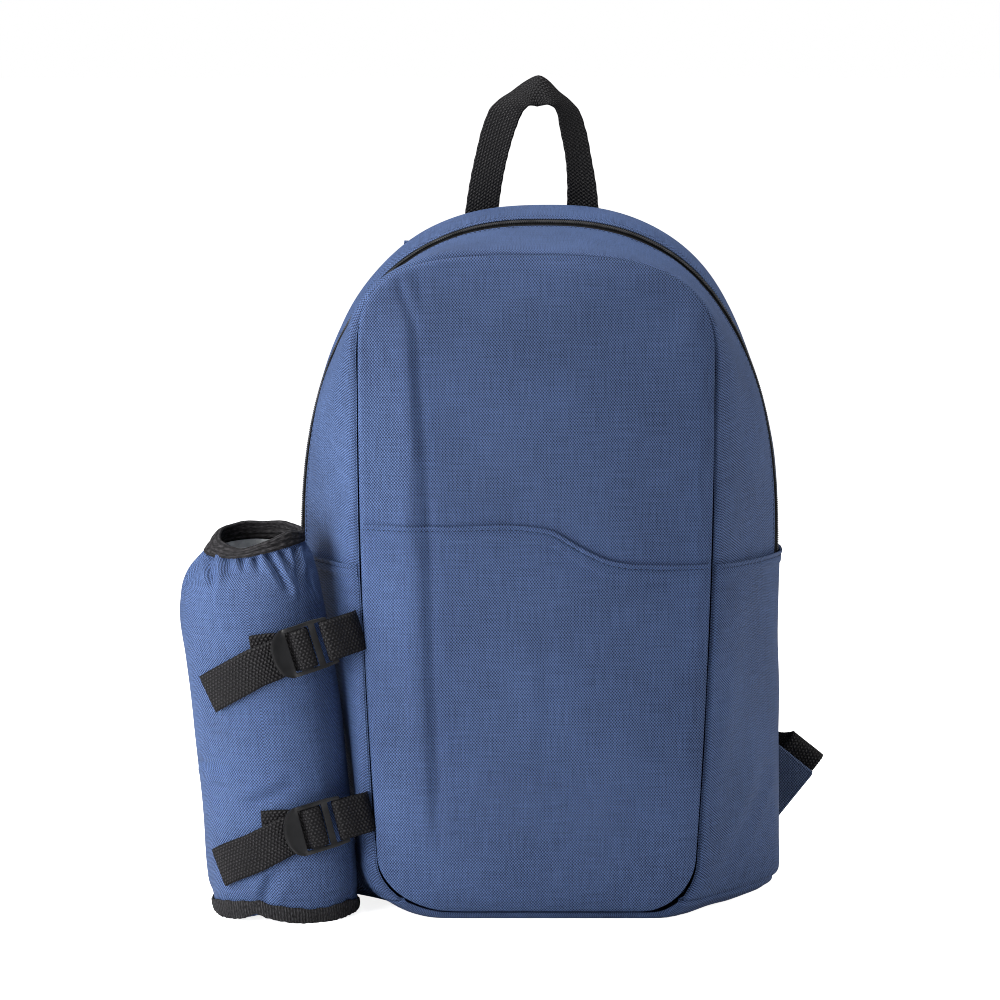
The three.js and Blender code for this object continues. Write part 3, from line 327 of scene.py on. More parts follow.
# seam outline of the front, and how far a point of the front is inside it
SEAM_T = np.linspace(-1, 1, 721)
SEAM = np.stack(loft(0.0, SEAM_T)[::2], 1)
MID = np.array([SECTIONS[0]["dx"], 215.0])
_ang = np.arctan2(SEAM[:, 1] - MID[1], SEAM[:, 0] - MID[0])
_order = np.argsort(_ang)
_A, _R = _ang[_order], np.hypot(*(SEAM - MID).T)[_order]


def share_out(x, z):
    a = np.arctan2(z - MID[1], x - MID[0])
    return np.hypot(x - MID[0], z - MID[1]) / np.interp(a, _A, _R, period=2 * math.pi)


def seam_distance(x, z):
    p = np.stack([x, z], -1).reshape(-1, 2)
    best = np.full(len(p), 1e9)
    for a, b in zip(SEAM[:-1], SEAM[1:]):
        d = b - a
        t = np.clip(((p - a) @ d) / max(1e-9, d @ d), 0, 1)
        best = np.minimum(best, ((p - a - t[:, None] * d) ** 2).sum(1))
    return np.sqrt(best).reshape(np.shape(x))


# ------------------------------------------------------------------ meshes
ALL = []


def make(name, verts, faces, uv=None, material=None, smooth_shade=True, replaces=(), slot=None, ride=True):
    """A mesh object. verts in mm; faces a list of tuples or arrays; uv one pair for each face corner, in mm."""
    me = bpy.data.meshes.new(name)
    me.from_pydata((np.asarray(verts, float) / 1000).tolist(), [], [tuple(int(i) for i in f) for f in faces])
    if uv is not None:
        layer = me.uv_layers.new(name="mm")
        layer.uv.foreach_set("vector", np.asarray(uv, np.float32).ravel())
    me.validate()
    me.polygons.foreach_set("use_smooth", [smooth_shade] * len(me.polygons))
    ob = bpy.data.objects.new(name, me)
    bpy.context.scene.collection.objects.link(ob)
    if material is not None:
        me.materials.append(material)
    if replaces:
        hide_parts(*replaces)
    if ride:
        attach(ob, "root")
    ALL.append(ob)
    return ob


class Build:
    """Grids of faces gathered into one mesh."""

    def __init__(self):
        self.v, self.f, self.uv, self.n = [], [], [], 0

    def points(self, P):
        P = np.asarray(P, float).reshape(-1, 3)
        self.v.append(P)
        self.n += len(P)
        return np.arange(self.n - len(P), self.n)

    def quads(self, ids, uv, loop_i=False, loop_j=False, flip=False):
        """ids (ni, nj) of points; uv (ni or ni+1, nj or nj+1, 2)."""
        if loop_i:
            ids = np.concatenate([ids, ids[:1]], 0)
        if loop_j:
            ids = np.concatenate([ids, ids[:, :1]], 1)
        a, b, c, d = ids[:-1, :-1], ids[1:, :-1], ids[1:, 1:], ids[:-1, 1:]
        ua, ub, uc, ud = (uv[:ids.shape[0], :ids.shape[1]][s] for s in ((slice(None, -1), slice(None, -1)), (slice(1, None), slice(None, -1)), (slice(1, None), slice(1, None)), (slice(None, -1), slice(1, None))))
        q, w = (np.stack([a, b, c, d], -1), np.stack([ua, ub, uc, ud], -2))
        if flip:
            q, w = q[..., ::-1], w[..., ::-1, :]
        self.f += list(map(tuple, q.reshape(-1, 4).tolist()))
        self.uv.append(w.reshape(-1, 2))

    def face(self, ids, uv):
        self.f.append(tuple(int(i) for i in ids))
        self.uv.append(np.asarray(uv, float).reshape(-1, 2))

    def done(self, name, **kw):
        return make(name, np.concatenate(self.v), self.f, np.concatenate(self.uv), **kw)


def grid_uv(P, loop_i=False):
    """Lengths along a grid's rows and columns, in mm: u along i at the middle column, v along j at the middle row."""
    mi, mj = P.shape[0] // 2, P.shape[1] // 2
    col = P[:, mj]
    if loop_i:
        col = np.concatenate([col, col[:1]])
    u = np.concatenate([[0], np.cumsum(np.linalg.norm(np.diff(col, axis=0), axis=1))])
    v = np.concatenate([[0], np.cumsum(np.linalg.norm(np.diff(P[mi], axis=0), axis=1))])
    return np.stack(np.meshgrid(u, v, indexing="ij"), -1)


def normals(P, loop_i=False, like=None):
    Pi = np.gradient(P, axis=0)
    if loop_i:
        Pi = np.roll(P, -1, 0) - np.roll(P, 1, 0)
    Pj = np.gradient(P, axis=1)
    N = unit(np.cross(Pi, Pj))
    if like is not None:
        if np.einsum("...k,...k", N, like).sum() < 0:
            N = -N
    return N


def shell(name, outer, thick, loop_i=False, like=None, uv=None, inner=None, **kw):
    """A closed wall: outer grid, and an inner one at thick (mm) behind it."""
    N = normals(outer, loop_i, like)
    if inner is None:
        inner = outer - N * (np.asarray(thick)[..., None] if np.ndim(thick) else thick)
    uv = grid_uv(outer, loop_i) if uv is None else uv
    b = Build()
    o = b.points(outer).reshape(outer.shape[:2])
    i = b.points(inner).reshape(outer.shape[:2])
    Pi, Pj = outer[1:, :-1] - outer[:-1, :-1], outer[:-1, 1:] - outer[:-1, :-1]
    flip = np.einsum("...k,...k", np.cross(Pi, Pj), N[:-1, :-1]).sum() < 0
    b.quads(o, uv, loop_i, flip=flip)
    b.quads(i, uv, loop_i, flip=not flip)
    for j in (0, -1):
        e = np.stack([o[:, j], i[:, j]], 1)
        w = np.stack([uv[:, j], uv[:, j]], 1)
        b.quads(e, w, loop_i, flip=(j == 0) == flip)
    if not loop_i:
        for k in (0, -1):
            e = np.stack([o[k], i[k]], 1)
            b.quads(e, np.stack([uv[k], uv[k]], 1), flip=(k == -1) == flip)
    return b.done(name, **kw)


# ------------------------------------------------------------------ materials
class Nodes:
    def __init__(self, name):
        self.m = bpy.data.materials.new(name)
        self.m.use_nodes = True
        self.t = self.m.node_tree
        self.t.nodes.clear()
        self.out = self.t.nodes.new("ShaderNodeOutputMaterial")
        self.bsdf = self.t.nodes.new("ShaderNodeBsdfPrincipled")
        self.t.links.new(self.bsdf.outputs[0], self.out.inputs[0])

    def put(self, socket, value):
        if isinstance(value, bpy.types.NodeSocket):
            self.t.links.new(value, socket)
        else:
            socket.default_value = value

    def op(self, kind, a, b=0.0, c=0.0, clamp=False):
        n = self.t.nodes.new("ShaderNodeMath")
        n.operation, n.use_clamp = kind, clamp
        for s, v in zip(n.inputs, (a, b, c)):
            self.put(s, v)
        return n.outputs[0]

    def add(self, kind, out=0, **inputs):
        n = self.t.nodes.new(kind)
        for k, v in inputs.items():
            if k.startswith("_"):
                setattr(n, k[1:], v)
            else:
                self.put(n.inputs[k.replace("__", " ")], v)
        return n.outputs[out]

    def uv(self):
        s = self.t.nodes.new("ShaderNodeSeparateXYZ")
        self.t.links.new(self.add("ShaderNodeUVMap", _uv_map="mm"), s.inputs[0])
        return s.outputs[0], s.outputs[1]

    def at(self, x, y, z=0.0):
        return self.add("ShaderNodeCombineXYZ", X=x, Y=y, Z=z)

    def noise(self, vector, scale, detail=2.0, rough=0.5):
        return self.add("ShaderNodeTexNoise", Vector=vector, Scale=scale, Detail=detail, Roughness=rough)

    def place(self):
        return self.add("ShaderNodeTexCoord", out=3)

    def mix(self, f, a, b):
        n = self.t.nodes.new("ShaderNodeMix")
        n.data_type = "RGBA"
        self.put(n.inputs[0], f)
        self.put(n.inputs[6], (*a, 1) if isinstance(a, tuple) else a)
        self.put(n.inputs[7], (*b, 1) if isinstance(b, tuple) else b)
        return n.outputs[2]

    def ramp(self, f, lo, hi):
        return self.add("ShaderNodeMapRange", **{"Value": f, "From__Min": lo, "From__Max": hi, "To__Min": 0.0, "To__Max": 1.0})

    def bump(self, height, mm, strength=1.0):
        n = self.t.nodes.new("ShaderNodeBump")
        n.inputs["Strength"].default_value = strength
        n.inputs["Distance"].default_value = mm / 1000
        self.put(n.inputs["Height"], height)
        self.t.links.new(n.outputs[0], self.bsdf.inputs["Normal"])

    def finish(self, colour, rough, **sockets):
        self.put(self.bsdf.inputs["Base Color"], (*colour, 1) if isinstance(colour, tuple) else colour)
        self.put(self.bsdf.inputs["Roughness"], rough)
        for k, v in sockets.items():
            self.put(self.bsdf.inputs[k.replace("_", " ")], v)
        return self.m


def cloth(name, dark, light, pitch=(1.72, 2.03), gloss=0.6, worn=0.4, relief=0.42):
    """Plain-woven polyester: two sets of threads, each a little uneven, and a slow change of tone."""
    n = Nodes(name)
    u, v = n.uv()
    wob = n.noise(n.at(u, v), 0.09, 2.0)
    wob = n.op("MULTIPLY", n.op("SUBTRACT", wob, 0.5), 1.3)
    u2, v2 = n.op("ADD", u, wob), n.op("ADD", v, wob)
    a, b = n.op("SINE", n.op("MULTIPLY", u2, 2 * math.pi / pitch[0])), n.op("SINE", n.op("MULTIPLY", v2, 2 * math.pi / pitch[1]))
    w = n.op("MULTIPLY_ADD", n.op("MULTIPLY", a, b), 0.5, 0.5)
    warp = n.noise(n.at(n.op("MULTIPLY", u, 1.1), n.op("MULTIPLY", v, 0.05)), 1.0, 2.0)
    weft = n.noise(n.at(n.op("MULTIPLY", u, 0.05), n.op("MULTIPLY", v, 1.1), 7.0), 1.0, 2.0)
    uneven = n.op("MULTIPLY", n.op("ADD", warp, weft), 0.5)
    slow = n.noise(n.at(u, v, 3.0), 0.012, 3.0)
    dots = n.ramp(w, 0.22, 0.80)
    f = n.op("MULTIPLY_ADD", dots, 0.78, n.op("MULTIPLY_ADD", uneven, 0.8, -0.30))
    f = n.op("ADD", f, n.op("MULTIPLY", n.op("SUBTRACT", slow, 0.5), worn), clamp=True)
    n.bump(n.op("ADD", w, n.op("MULTIPLY", uneven, 0.5)), relief, 1.0)
    rough = n.op("MULTIPLY_ADD", w, -0.12, gloss + 0.08)
    return n.finish(n.mix(f, dark, light), rough, Specular_IOR_Level=0.2)


def webbing(name, dark, light, gloss=0.5):
    """Woven webbing: columns of short slanted floats, each column half a float behind the next, with lighter filaments."""
    n = Nodes(name)
    u, v = n.uv()
    cw, pl = 1.95, 2.35
    q = n.op("DIVIDE", u, cw)
    col = n.op("FLOOR", q)
    fr = n.op("SUBTRACT", q, col)
    odd = n.op("MODULO", n.op("ABSOLUTE", col), 2.0)
    slant = n.op("MULTIPLY", n.op("SUBTRACT", fr, 0.5), n.op("MULTIPLY_ADD", odd, -3.4, 1.7))
    ph = n.op("ADD", n.op("MULTIPLY_ADD", v, 2 * math.pi / pl, n.op("MULTIPLY", odd, math.pi)), slant)
    grain = n.op("MULTIPLY", n.op("MULTIPLY_ADD", n.op("SINE", ph), 0.5, 0.5), n.op("SINE", n.op("MULTIPLY", fr, math.pi)))
    fil = n.noise(n.at(n.op("MULTIPLY", u, 2.0), n.op("MULTIPLY", v, 1.0), 1.0), 1.0, 3.0, 0.6)
    slow = n.noise(n.at(u, v), 0.06, 2.0)
    n.bump(n.op("ADD", grain, n.op("MULTIPLY", fil, 0.4)), 0.6, 1.0)
    f = n.op("MULTIPLY", n.ramp(grain, 0.25, 0.95), n.op("MULTIPLY", n.ramp(fil, 0.3, 0.72), n.op("MULTIPLY_ADD", slow, 0.9, 0.45)), clamp=True)
    return n.finish(n.mix(f, dark, light), gloss, Specular_IOR_Level=0.12)


def ribbed(name, dark, light, pitch=1.15, along_u=True):
    """Woven elastic or binding tape with fine ribs."""
    n = Nodes(name)
    u, v = n.uv()
    x, y = (u, v) if along_u else (v, u)
    rib = n.op("MULTIPLY_ADD", n.op("SINE", n.op("MULTIPLY", x, 2 * math.pi / pitch)), 0.5, 0.5)
    cross = n.op("MULTIPLY_ADD", n.op("SINE", n.op("MULTIPLY", y, 2 * math.pi / 0.9)), 0.5, 0.5)
    fine = n.noise(n.at(n.op("MULTIPLY", x, 1.5), n.op("MULTIPLY", y, 0.6 if along_u else 0.3)), 1.0, 2.0)
    h = n.op("ADD", rib, n.op("MULTIPLY", cross, 0.12))
    n.bump(n.op("ADD", h, n.op("MULTIPLY", fine, 0.4)), 0.3, 0.9)
    f = n.op("MULTIPLY", n.op("MULTIPLY_ADD", rib, 0.6, 0.2), n.ramp(fine, 0.35, 0.7), clamp=True)
    return n.finish(n.mix(f, dark, light), 0.78, Sheen_Weight=0.0, Specular_IOR_Level=0.14)


def moulded(name, dark, light):
    n = Nodes(name)
    p = n.place()
    fine, slow = n.noise(p, 2600.0, 2.0), n.noise(p, 90.0, 3.0)
    n.bump(fine, 0.05, 0.5)
    return n.finish(n.mix(n.ramp(slow, 0.3, 0.75), dark, light), n.op("MULTIPLY_ADD", slow, 0.16, 0.32), Specular_IOR_Level=0.24)


def foil(name):
    n = Nodes(name)
    p = n.place()
    a, b = n.noise(p, 160.0, 4.0, 0.6), n.noise(p, 700.0, 2.0)
    n.bump(n.op("ADD", a, n.op("MULTIPLY", b, 0.15)), 2.2, 0.8)
    return n.finish(n.mix(a, (0.74, 0.77, 0.80), (0.95, 0.96, 0.97)), n.op("MULTIPLY_ADD", a, 0.25, 0.22), Metallic=0.35, Specular_IOR_Level=0.6)


def thread(name, colour, light):
    n = Nodes(name)
    f = n.noise(n.place(), 900.0, 2.0)
    n.bump(f, 0.1, 0.6)
    return n.finish(n.mix(f, colour, light), 0.6, Specular_IOR_Level=0.2)


NAVY_D, NAVY_L = (0.0025, 0.0075, 0.026), (0.080, 0.134, 0.296)
M_CLOTH = cloth("pack_cloth", NAVY_D, NAVY_L)
M_TAB = cloth("tab_cloth", (0.009, 0.015, 0.036), (0.094, 0.138, 0.25), worn=0.3)
M_WEB = webbing("strap_webbing", (0.0030, 0.0028, 0.0034), (0.050, 0.047, 0.051))
M_RIB = ribbed("binding_tape", (0.0024, 0.0024, 0.0030), (0.060, 0.058, 0.063), pitch=1.9)
M_ELASTIC = ribbed("elastic_binding", (0.0030, 0.0028, 0.0034), (0.052, 0.049, 0.053), pitch=2.2, along_u=False)
M_TAPE = ribbed("zip_tape", (0.002, 0.002, 0.0025), (0.014, 0.014, 0.016), pitch=0.8)
M_PLASTIC = moulded("buckle_plastic", (0.0038, 0.0038, 0.0044), (0.0105, 0.0105, 0.0115))
M_COIL = moulded("zip_coil", (0.006, 0.006, 0.007), (0.060, 0.060, 0.065))
M_FOIL = foil("foil_lining")
M_THREAD = thread("navy_thread", (0.004, 0.008, 0.022), (0.012, 0.022, 0.056))
M_BLACK_THREAD = thread("black_thread", (0.0015, 0.0015, 0.002), (0.008, 0.008, 0.009))

# ------------------------------------------------------------------ folds seen in the picture: width (px), points (x, y, height mm)
FRONT_FOLDS = [
    (8, [(400, 300, 0), (404, 350, 0.5), (406, 420, 0.6), (406, 540, 0.6), (411, 660, 0.6), (415, 740, 0.5), (410, 790, 0)]),
    (6, [(412, 262, -0.4), (418, 300, -0.9), (419, 345, -0.7), (422, 400, -0.7), (428, 470, -0.7), (430, 540, -0.7), (431, 640, -0.7), (436, 740, -0.6), (439, 800, -0.4), (438, 840, 0)]),
    (4, [(393, 270, 0), (401, 289, -1.4), (412, 320, -1.4), (418, 346, 0)]),
    (5, [(403, 266, 0), (410, 288, 1.4), (420, 318, 1.1), (427, 342, 0)]),
    (4, [(416, 262, 0), (423, 288, -0.8), (431, 318, 0)]),
    (5, [(424, 266, 0), (431, 292, 0.8), (438, 318, 0)]),
    (7, [(364, 306, 0.8), (376, 330, 0.5), (384, 370, 0)]),
    (5, [(500, 262, -0.25), (502, 290, -0.4), (500, 335, 0)]),
    (5, [(508, 260, 0.35), (508, 290, 0.35), (507, 330, 0)]),
    (8, [(528, 470, 0), (518, 495, -0.55), (509, 524, -0.45)]),
    (6, [(520, 478, 0), (532, 500, 0.4), (541, 522, 0.3)]),
    (9, [(480, 380, 0), (464, 402, 0.35), (446, 420, 0)]),
    (12, [(560, 300, 0), (566, 400, 0.35), (560, 480, 0)]),
    (4, [(366, 512, 0), (373, 516, -0.5), (384, 525, -0.3)]),
    (4, [(366, 662, 0), (382, 678, -0.8), (404, 681, 0)]),
    (5, [(368, 672, 0), (384, 688, 0.5), (404, 690, 0)]),
    (8, [(371, 768, 0), (392, 782, -0.7), (420, 802, 0)]),
    (9, [(376, 780, 0), (396, 800, 0.5), (418, 818, 0)]),
    (10, [(531, 575, 0), (532, 640, 0.5), (530, 760, 0.45), (528, 860, 0)]),
    (9, [(547, 580, 0), (549, 660, -0.4), (547, 800, 0)]),
    (14, [(480, 570, 0), (478, 700, 0.4), (484, 830, 0)]),
    (14, [(620, 590, 0), (626, 700, 0.4), (616, 830, 0)]),
    (11, [(698, 298, 0.9), (689, 330, 0.8), (680, 362, 0)]),
    (9, [(680, 290, 0), (672, 320, -0.6), (668, 362, 0)]),
    (12, [(690, 430, 0), (688, 520, -0.5), (684, 640, -0.4), (680, 760, 0)]),
    (10, [(700, 420, 0), (700, 540, 0.5), (694, 700, 0.5), (688, 800, 0)]),
]
SIDE_FOLDS = [
    (7, [(356, 298, 0.6), (366, 283, 1.7), (388, 264, 1.9), (412, 252, 1.2), (440, 247, 0)]),
    (7, [(650, 250, 0), (672, 262, 1.4), (698, 283, 1.7), (712, 304, 1.5), (723, 326, 0.6), (730, 350, 0)]),
    (4, [(700, 292, 0), (704, 283, -1.0), (709, 276, 0)]),
    (3, [(776, 770, 0.5), (766, 800, 0.7), (758, 820, 0.8), (746, 846, 0.8), (729, 878, 0.2)]),
    (9, [(756, 740, 0), (750, 788, 1.0), (730, 834, 1.4), (708, 872, 0.4)]),
    (7, [(770, 740, 0), (762, 780, -0.8), (746, 818, -0.9), (724, 860, -0.4)]),
    (8, [(742, 560, 0), (736, 640, 0.6), (722, 740, 0.5), (712, 800, 0)]),
    (6, [(720, 640, 0), (714, 720, -0.5), (706, 820, -0.6), (702, 850, 0)]),
    (5, [(334, 512, 0), (346, 532, -1.0), (355, 548, -0.7)]),
    (5, [(340, 500, 0), (351, 520, 0.7), (356, 532, 0)]),
    (7, [(330, 360, 0), (336, 420, 0.6), (334, 490, 0)]),
    (8, [(345, 350, 0), (346, 420, -0.7), (347, 500, -0.5), (345, 530, 0)]),
    (6, [(716, 380, 0), (718, 440, -0.5), (712, 520, 0)]),
    (8, [(742, 380, 0), (752, 450, 0.5), (756, 520, 0)]),
]
SLEEVE_FOLDS = [
    (3.2, [(211, 556, -1.0), (211, 570, -1.9), (212, 589, 0)]),
    (3.5, [(204, 556, 0.6), (205, 572, 0.9), (208, 592, 0)]),
    (4, [(219, 556, 0.8), (221, 572, 1.2), (219, 592, 0)]),
    (3, [(199, 556, -0.6), (194, 570, -0.9), (188, 584, 0)]),
    (3.5, [(227, 559, -1.0), (229, 568, -0.7), (232, 578, 0)]),
    (2.6, [(236, 560, 0.7), (238, 567, 0.4), (240, 574, 0)]),
    (2.6, [(242, 560, -1.0), (243, 567, -0.6), (245, 574, 0)]),
    (2.6, [(249, 560, 0.7), (250, 566, 0.4), (252, 572, 0)]),
    (2.6, [(256, 560, -1.0), (258, 567, -0.7), (261, 576, 0)]),
    (4, [(262, 558, 0.9), (270, 572, 0.8), (282, 590, 0)]),
    (3.6, [(268, 557, -1.2), (277, 572, -1.3), (287, 586, -0.8), (294, 596, 0)]),
    (4.2, [(276, 556, 0.6), (284, 572, 1.2), (293, 588, 1.2), (297, 600, 0)]),
    (3, [(281, 555, -1.1), (287, 566, -0.9), (292, 576, 0)]),
    (3, [(289, 553, 0.8), (294, 564, 0.6), (297, 574, 0)]),
    (3, [(294, 552, -1.1), (298, 564, -1.2), (300, 582, -0.6), (300, 598, 0)]),
    (3.5, [(300, 551, 0.7), (305, 564, 0.8), (306, 580, 0)]),
    (5, [(306, 553, -0.6), (312, 572, -0.6), (314, 600, 0)]),
    (3.5, [(196, 760, -0.6), (207, 764, -1.1), (232, 769, -0.8), (262, 776, 0)]),
    (5, [(198, 769, 0.6), (212, 773, 0.9), (240, 778, 0.7), (266, 786, 0)]),
    (5, [(232, 807, 0), (250, 804, -1.3), (270, 797, -1.5), (290, 786, -0.6), (300, 780, 0)]),
    (6, [(232, 795, 0), (250, 790, 0.9), (272, 783, 0.9), (292, 770, 0)]),
    (5, [(284, 858, 0), (276, 872, -1.1), (268, 884, -1.4), (264, 900, -1.2)]),
    (5, [(272, 862, 0), (262, 876, 0.9), (254, 900, 0.7)]),
    (6, [(296, 866, 0), (288, 884, 0.7), (278, 902, 0.6)]),
    (8, [(205, 640, 0), (215, 700, -0.7), (212, 745, 0)]),
    (10, [(230, 620, 0), (236, 640, 0.6), (234, 650, 0)]),
    (10, [(320, 600, 0), (330, 700, -0.8), (334, 780, -0.6), (338, 860, 0)]),
    (7, [(214, 830, 0), (220, 860, -0.8), (222, 892, 0)]),
    (7, [(300, 700, 0), (270, 716, 0.7), (236, 726, 0)]),
]


# ------------------------------------------------------------------ the pack
RIDGE = np.array([(280, 402, 412), (384, 409, 420), (448, 412, 426), (525, 409, 432), (560, 416, 433), (745, 423, 438), (830, 426, 440), (900, 428, 442)], float)   # row, ridge, foot of its right side


def swell(P, crown):
    """The front stands furthest out along a ridge near its left side, drops, and is nearly flat beyond it."""
    px, py = seen_at(P)
    a, b = np.interp(py, RIDGE[:, 0], RIDGE[:, 1]), np.interp(py, RIDGE[:, 0], RIDGE[:, 2])
    up = np.clip((px - 358) / np.maximum(1, a - 358), 0, 1)
    h = 6.0 * (up - 0.24 * np.sin(2 * np.pi * up) / (2 * np.pi))
    drop = smooth((px - a + 1) / np.maximum(1, b - a))
    flat = lerp(8.2, 7.6, np.clip((px - b) / 150, 0, 1))
    right = np.maximum(0, flat - crown) * smooth((650 - px) / 130) + 0.3 * np.exp(-(((px - b - 9) / 7) ** 2))
    h = lerp(h, right, drop)
    return h * smooth((py - 262) / 95) * smooth((905 - py) / 110)


def seam_open(x, z):
    """1 where the front seam is a rounded groove, at the left and its top corner; 0 where it is close."""
    return 1 - smooth((x + 98 - 36 * smooth((z - 320) / 60)) / 36)


def front_surface(x, z, lines=FRONT_FOLDS, amount=1.0):
    """Depth of the front's outer face before it leans: crowned, folded, and rolled in at its seam."""
    d = seam_distance(x, z)
    r = np.clip(share_out(x, z), 0, 1)
    crown = FRONT_BULGE * np.maximum(0, 1 - r * r) ** 0.8
    y = SEC_Y[0] - crown
    R = 2.6
    roll = np.where(d < R, R - np.sqrt(np.maximum(0, R * R - (R - np.minimum(d, R)) ** 2)), 0)
    roll = lerp(2.5 * np.maximum(0, 1 - d / 8.5) ** 1.3, roll, seam_open(x, z))
    P = lean(x, y, z)
    h = folds(P, np.broadcast_to(vec(0, -1, 0), P.shape), lines) * amount + 0.8 * ripple(P * 1.0)
    return y + roll * 0.95 - h * smooth(d / 9) - swell(P, crown) * smooth(d / 4)


INSETS = np.array([0, 0.25, 0.6, 1.0, 1.5, 2.1, 2.8, 3.8, 5.0, 6.5, 8.0])


def ring_points(ts, inset):
    x, _, z = loft(0.0, ts)
    a, b = loft(0.0, np.maximum(-1, ts - 0.006)), loft(0.0, np.minimum(1, ts + 0.006))
    dx, dz = b[0] - a[0], b[2] - a[2]
    l = np.hypot(dx, dz)
    return x - dz / l * inset, z + dx / l * inset


def disc(name, n_round, n_in, y_of, thick_of, **kw):
    """A plate inside the front seam's outline. y_of(x, z) is its face; thick_of(d) its thickness d from the edge."""
    ts = np.linspace(-1, 1, n_round, endpoint=False)
    rings = [ring_points(ts, i) for i in INSETS]
    x8, z8 = rings[-1]
    for f in np.linspace(1, 0, n_in + 1)[1:-1]:
        rings.append((lerp(MID[0], x8, f), lerp(MID[1], z8, f)))
    X, Z = np.array([r[0] for r in rings]), np.array([r[1] for r in rings])
    X, Z = np.append(X.ravel(), MID[0]), np.append(Z.ravel(), MID[1])
    y = y_of(X, Z)
    nk = len(rings)
    depth = np.append(np.repeat(np.concatenate([INSETS, np.full(nk - len(INSETS), 60.0)]), n_round), 60.0)
    front, back = lean(X, y, Z), lean(X, y + thick_of(depth), Z)
    b = Build()
    f, k = b.points(front), b.points(back)
    F, K = f[:-1].reshape(nk, n_round), k[:-1].reshape(nk, n_round)
    UV = np.stack([X, Z], -1)
    G = UV[:-1].reshape(nk, n_round, 2)
    G = np.concatenate([G, G[:, :1]], 1)
    b.quads(F, G, loop_j=True, flip=True)
    b.quads(K, G, loop_j=True)
    b.quads(np.stack([F[0], K[0]]), np.stack([G[0], G[0]]), loop_j=True)
    for i in range(n_round):
        j = (i + 1) % n_round
        b.face((F[-1, i], F[-1, j], f[-1]), (G[-1, i], G[-1, j], UV[-1]))
        b.face((K[-1, j], K[-1, i], k[-1]), (G[-1, j], G[-1, i], UV[-1]))
    return b.done(name, **kw)


def taper(d, edge=0.45, full=WALL - 0.4, over=9):
    return lerp(edge, full, smooth(d / over))


front = disc("front_cloth", int(600 * FINE), int(96 * FINE), front_surface, taper, material=M_CLOTH, replaces=("front_panel",), slot="pack_cloth")

# the lips of the front gusset by depth, out from the smooth surface
LIP = np.array([(-67.2, -1.5), (-66.4, -0.2), (-65.2, 0.9), (-63.4, 1.7), (-60, 2.0), (-54, 1.5), (-42, 0.6), (-28, 0.0), (6.2, 0.0), (7.2, -0.25), (8.4, 0.0), (9.8, 0.12), (10.8, 0.0), (11.4, -0.3)])
REAR = np.array([(12.4, -0.3), (22.4, -0.3), (23.0, 0.2), (24.2, 0.35), (25.6, 0.1), (26.8, -0.25), (28.2, 0.0), (60, 0.0), (67, 0.7), (70, 0.6), (71.3, 0.0), (72.0, -1.0)])
T_LEN = 700.0        # about the length of half the outline


def side_shape(y, t, zip_lips=True):
    """How far the cloth stands out from the smooth surface at (y, t), and the surface there."""
    P, N = body(y, t)
    out = np.where(y < 12.2, np.interp(y, LIP[:, 0], LIP[:, 1]), np.interp(y, REAR[:, 0], REAR[:, 1]))
    wide = seam_open(P[..., 0], P[..., 2])
    close = np.interp(y, [-67.2, -66.7, -66.2, -65.2, -63.4, -60, -54, -42, -28], [-2.1, -0.7, 0.0, 0.5, 0.8, 0.9, 0.7, 0.3, 0.0])
    out = np.where(y < -28, lerp(close, out, wide), out)
    out = out + np.interp(y, [-20, 6, 11.4, 12.4, 22.4, 25, 42], [0, -0.9, -1.0, -0.6, 0.65, 0.6, 0]) * smooth((P[..., 2] - 330) / 60) * (1.0 if zip_lips else 0.0)
    if not zip_lips:
        out = np.where((y > 6) & (y < 29), 0.0, out)
    out = np.where((np.abs(t) < 0.2) & (y < 60), np.minimum(out, 0.6), out)
    side = np.where(t < 0, -1, 1)
    for sd in (-1, 1):
        d = (np.abs(t) - seam_t(y, sd)) * T_LEN
        out = np.where(side == sd, out - 1.3 * np.exp(-((d / 1.8) ** 2)) + 0.5 * np.exp(-(((np.abs(d) - 4.5) / 3) ** 2)), out)
    fade = smooth((y - SEC_Y[0]) / 6) * smooth((Y_BACK - y) / 8)
    low = smooth((P[..., 2] - 1.5) / 9)
    h = folds(P, N, SIDE_FOLDS) + 0.9 * ripple(P + 300)
    zipband = 1 - np.exp(-(((y - 17) / 9) ** 2)) * smooth((P[..., 2] - 205) / 20)
    return P, N, out + h * fade * low * zipband


def side_point(y, t, off=0.0, **kw):
    P, N, h = side_shape(y, t, **kw)
    Q = P + N * (h + off)[..., None]
    Q[..., 2] = np.maximum(Q[..., 2], 0.05)
    return Q


def arch_t(n_side, ys, start=None):
    """Stations from the right base seam over the top to the left one, a row for each y."""
    rows = []
    for y in ys:
        r, l = (seam_t(y, 1), seam_t(y, -1)) if start is None else start(y)
        a = np.linspace(0, 1, n_side)
        rows.append(np.concatenate([lerp(r, 1, a), -lerp(l, 1, a)[::-1][1:]]))
    return np.array(rows).T


def stations(a, b, n, near=(), fine=0.5):
    """n stations from a to b, closer near the values in near."""
    x = np.linspace(a, b, 4000)
    w = np.ones_like(x) * (1 - fine)
    for c, s, k in near:
        w += k * np.exp(-(((x - c) / s) ** 2))
    cum = np.cumsum(w)
    cum = (cum - cum[0]) / (cum[-1] - cum[0])
    return np.interp(np.linspace(0, 1, n), cum, x)


LIKE = lambda P: P - vec(0, 1, 0) * P[..., 1:2] - vec(0, 0, 190)

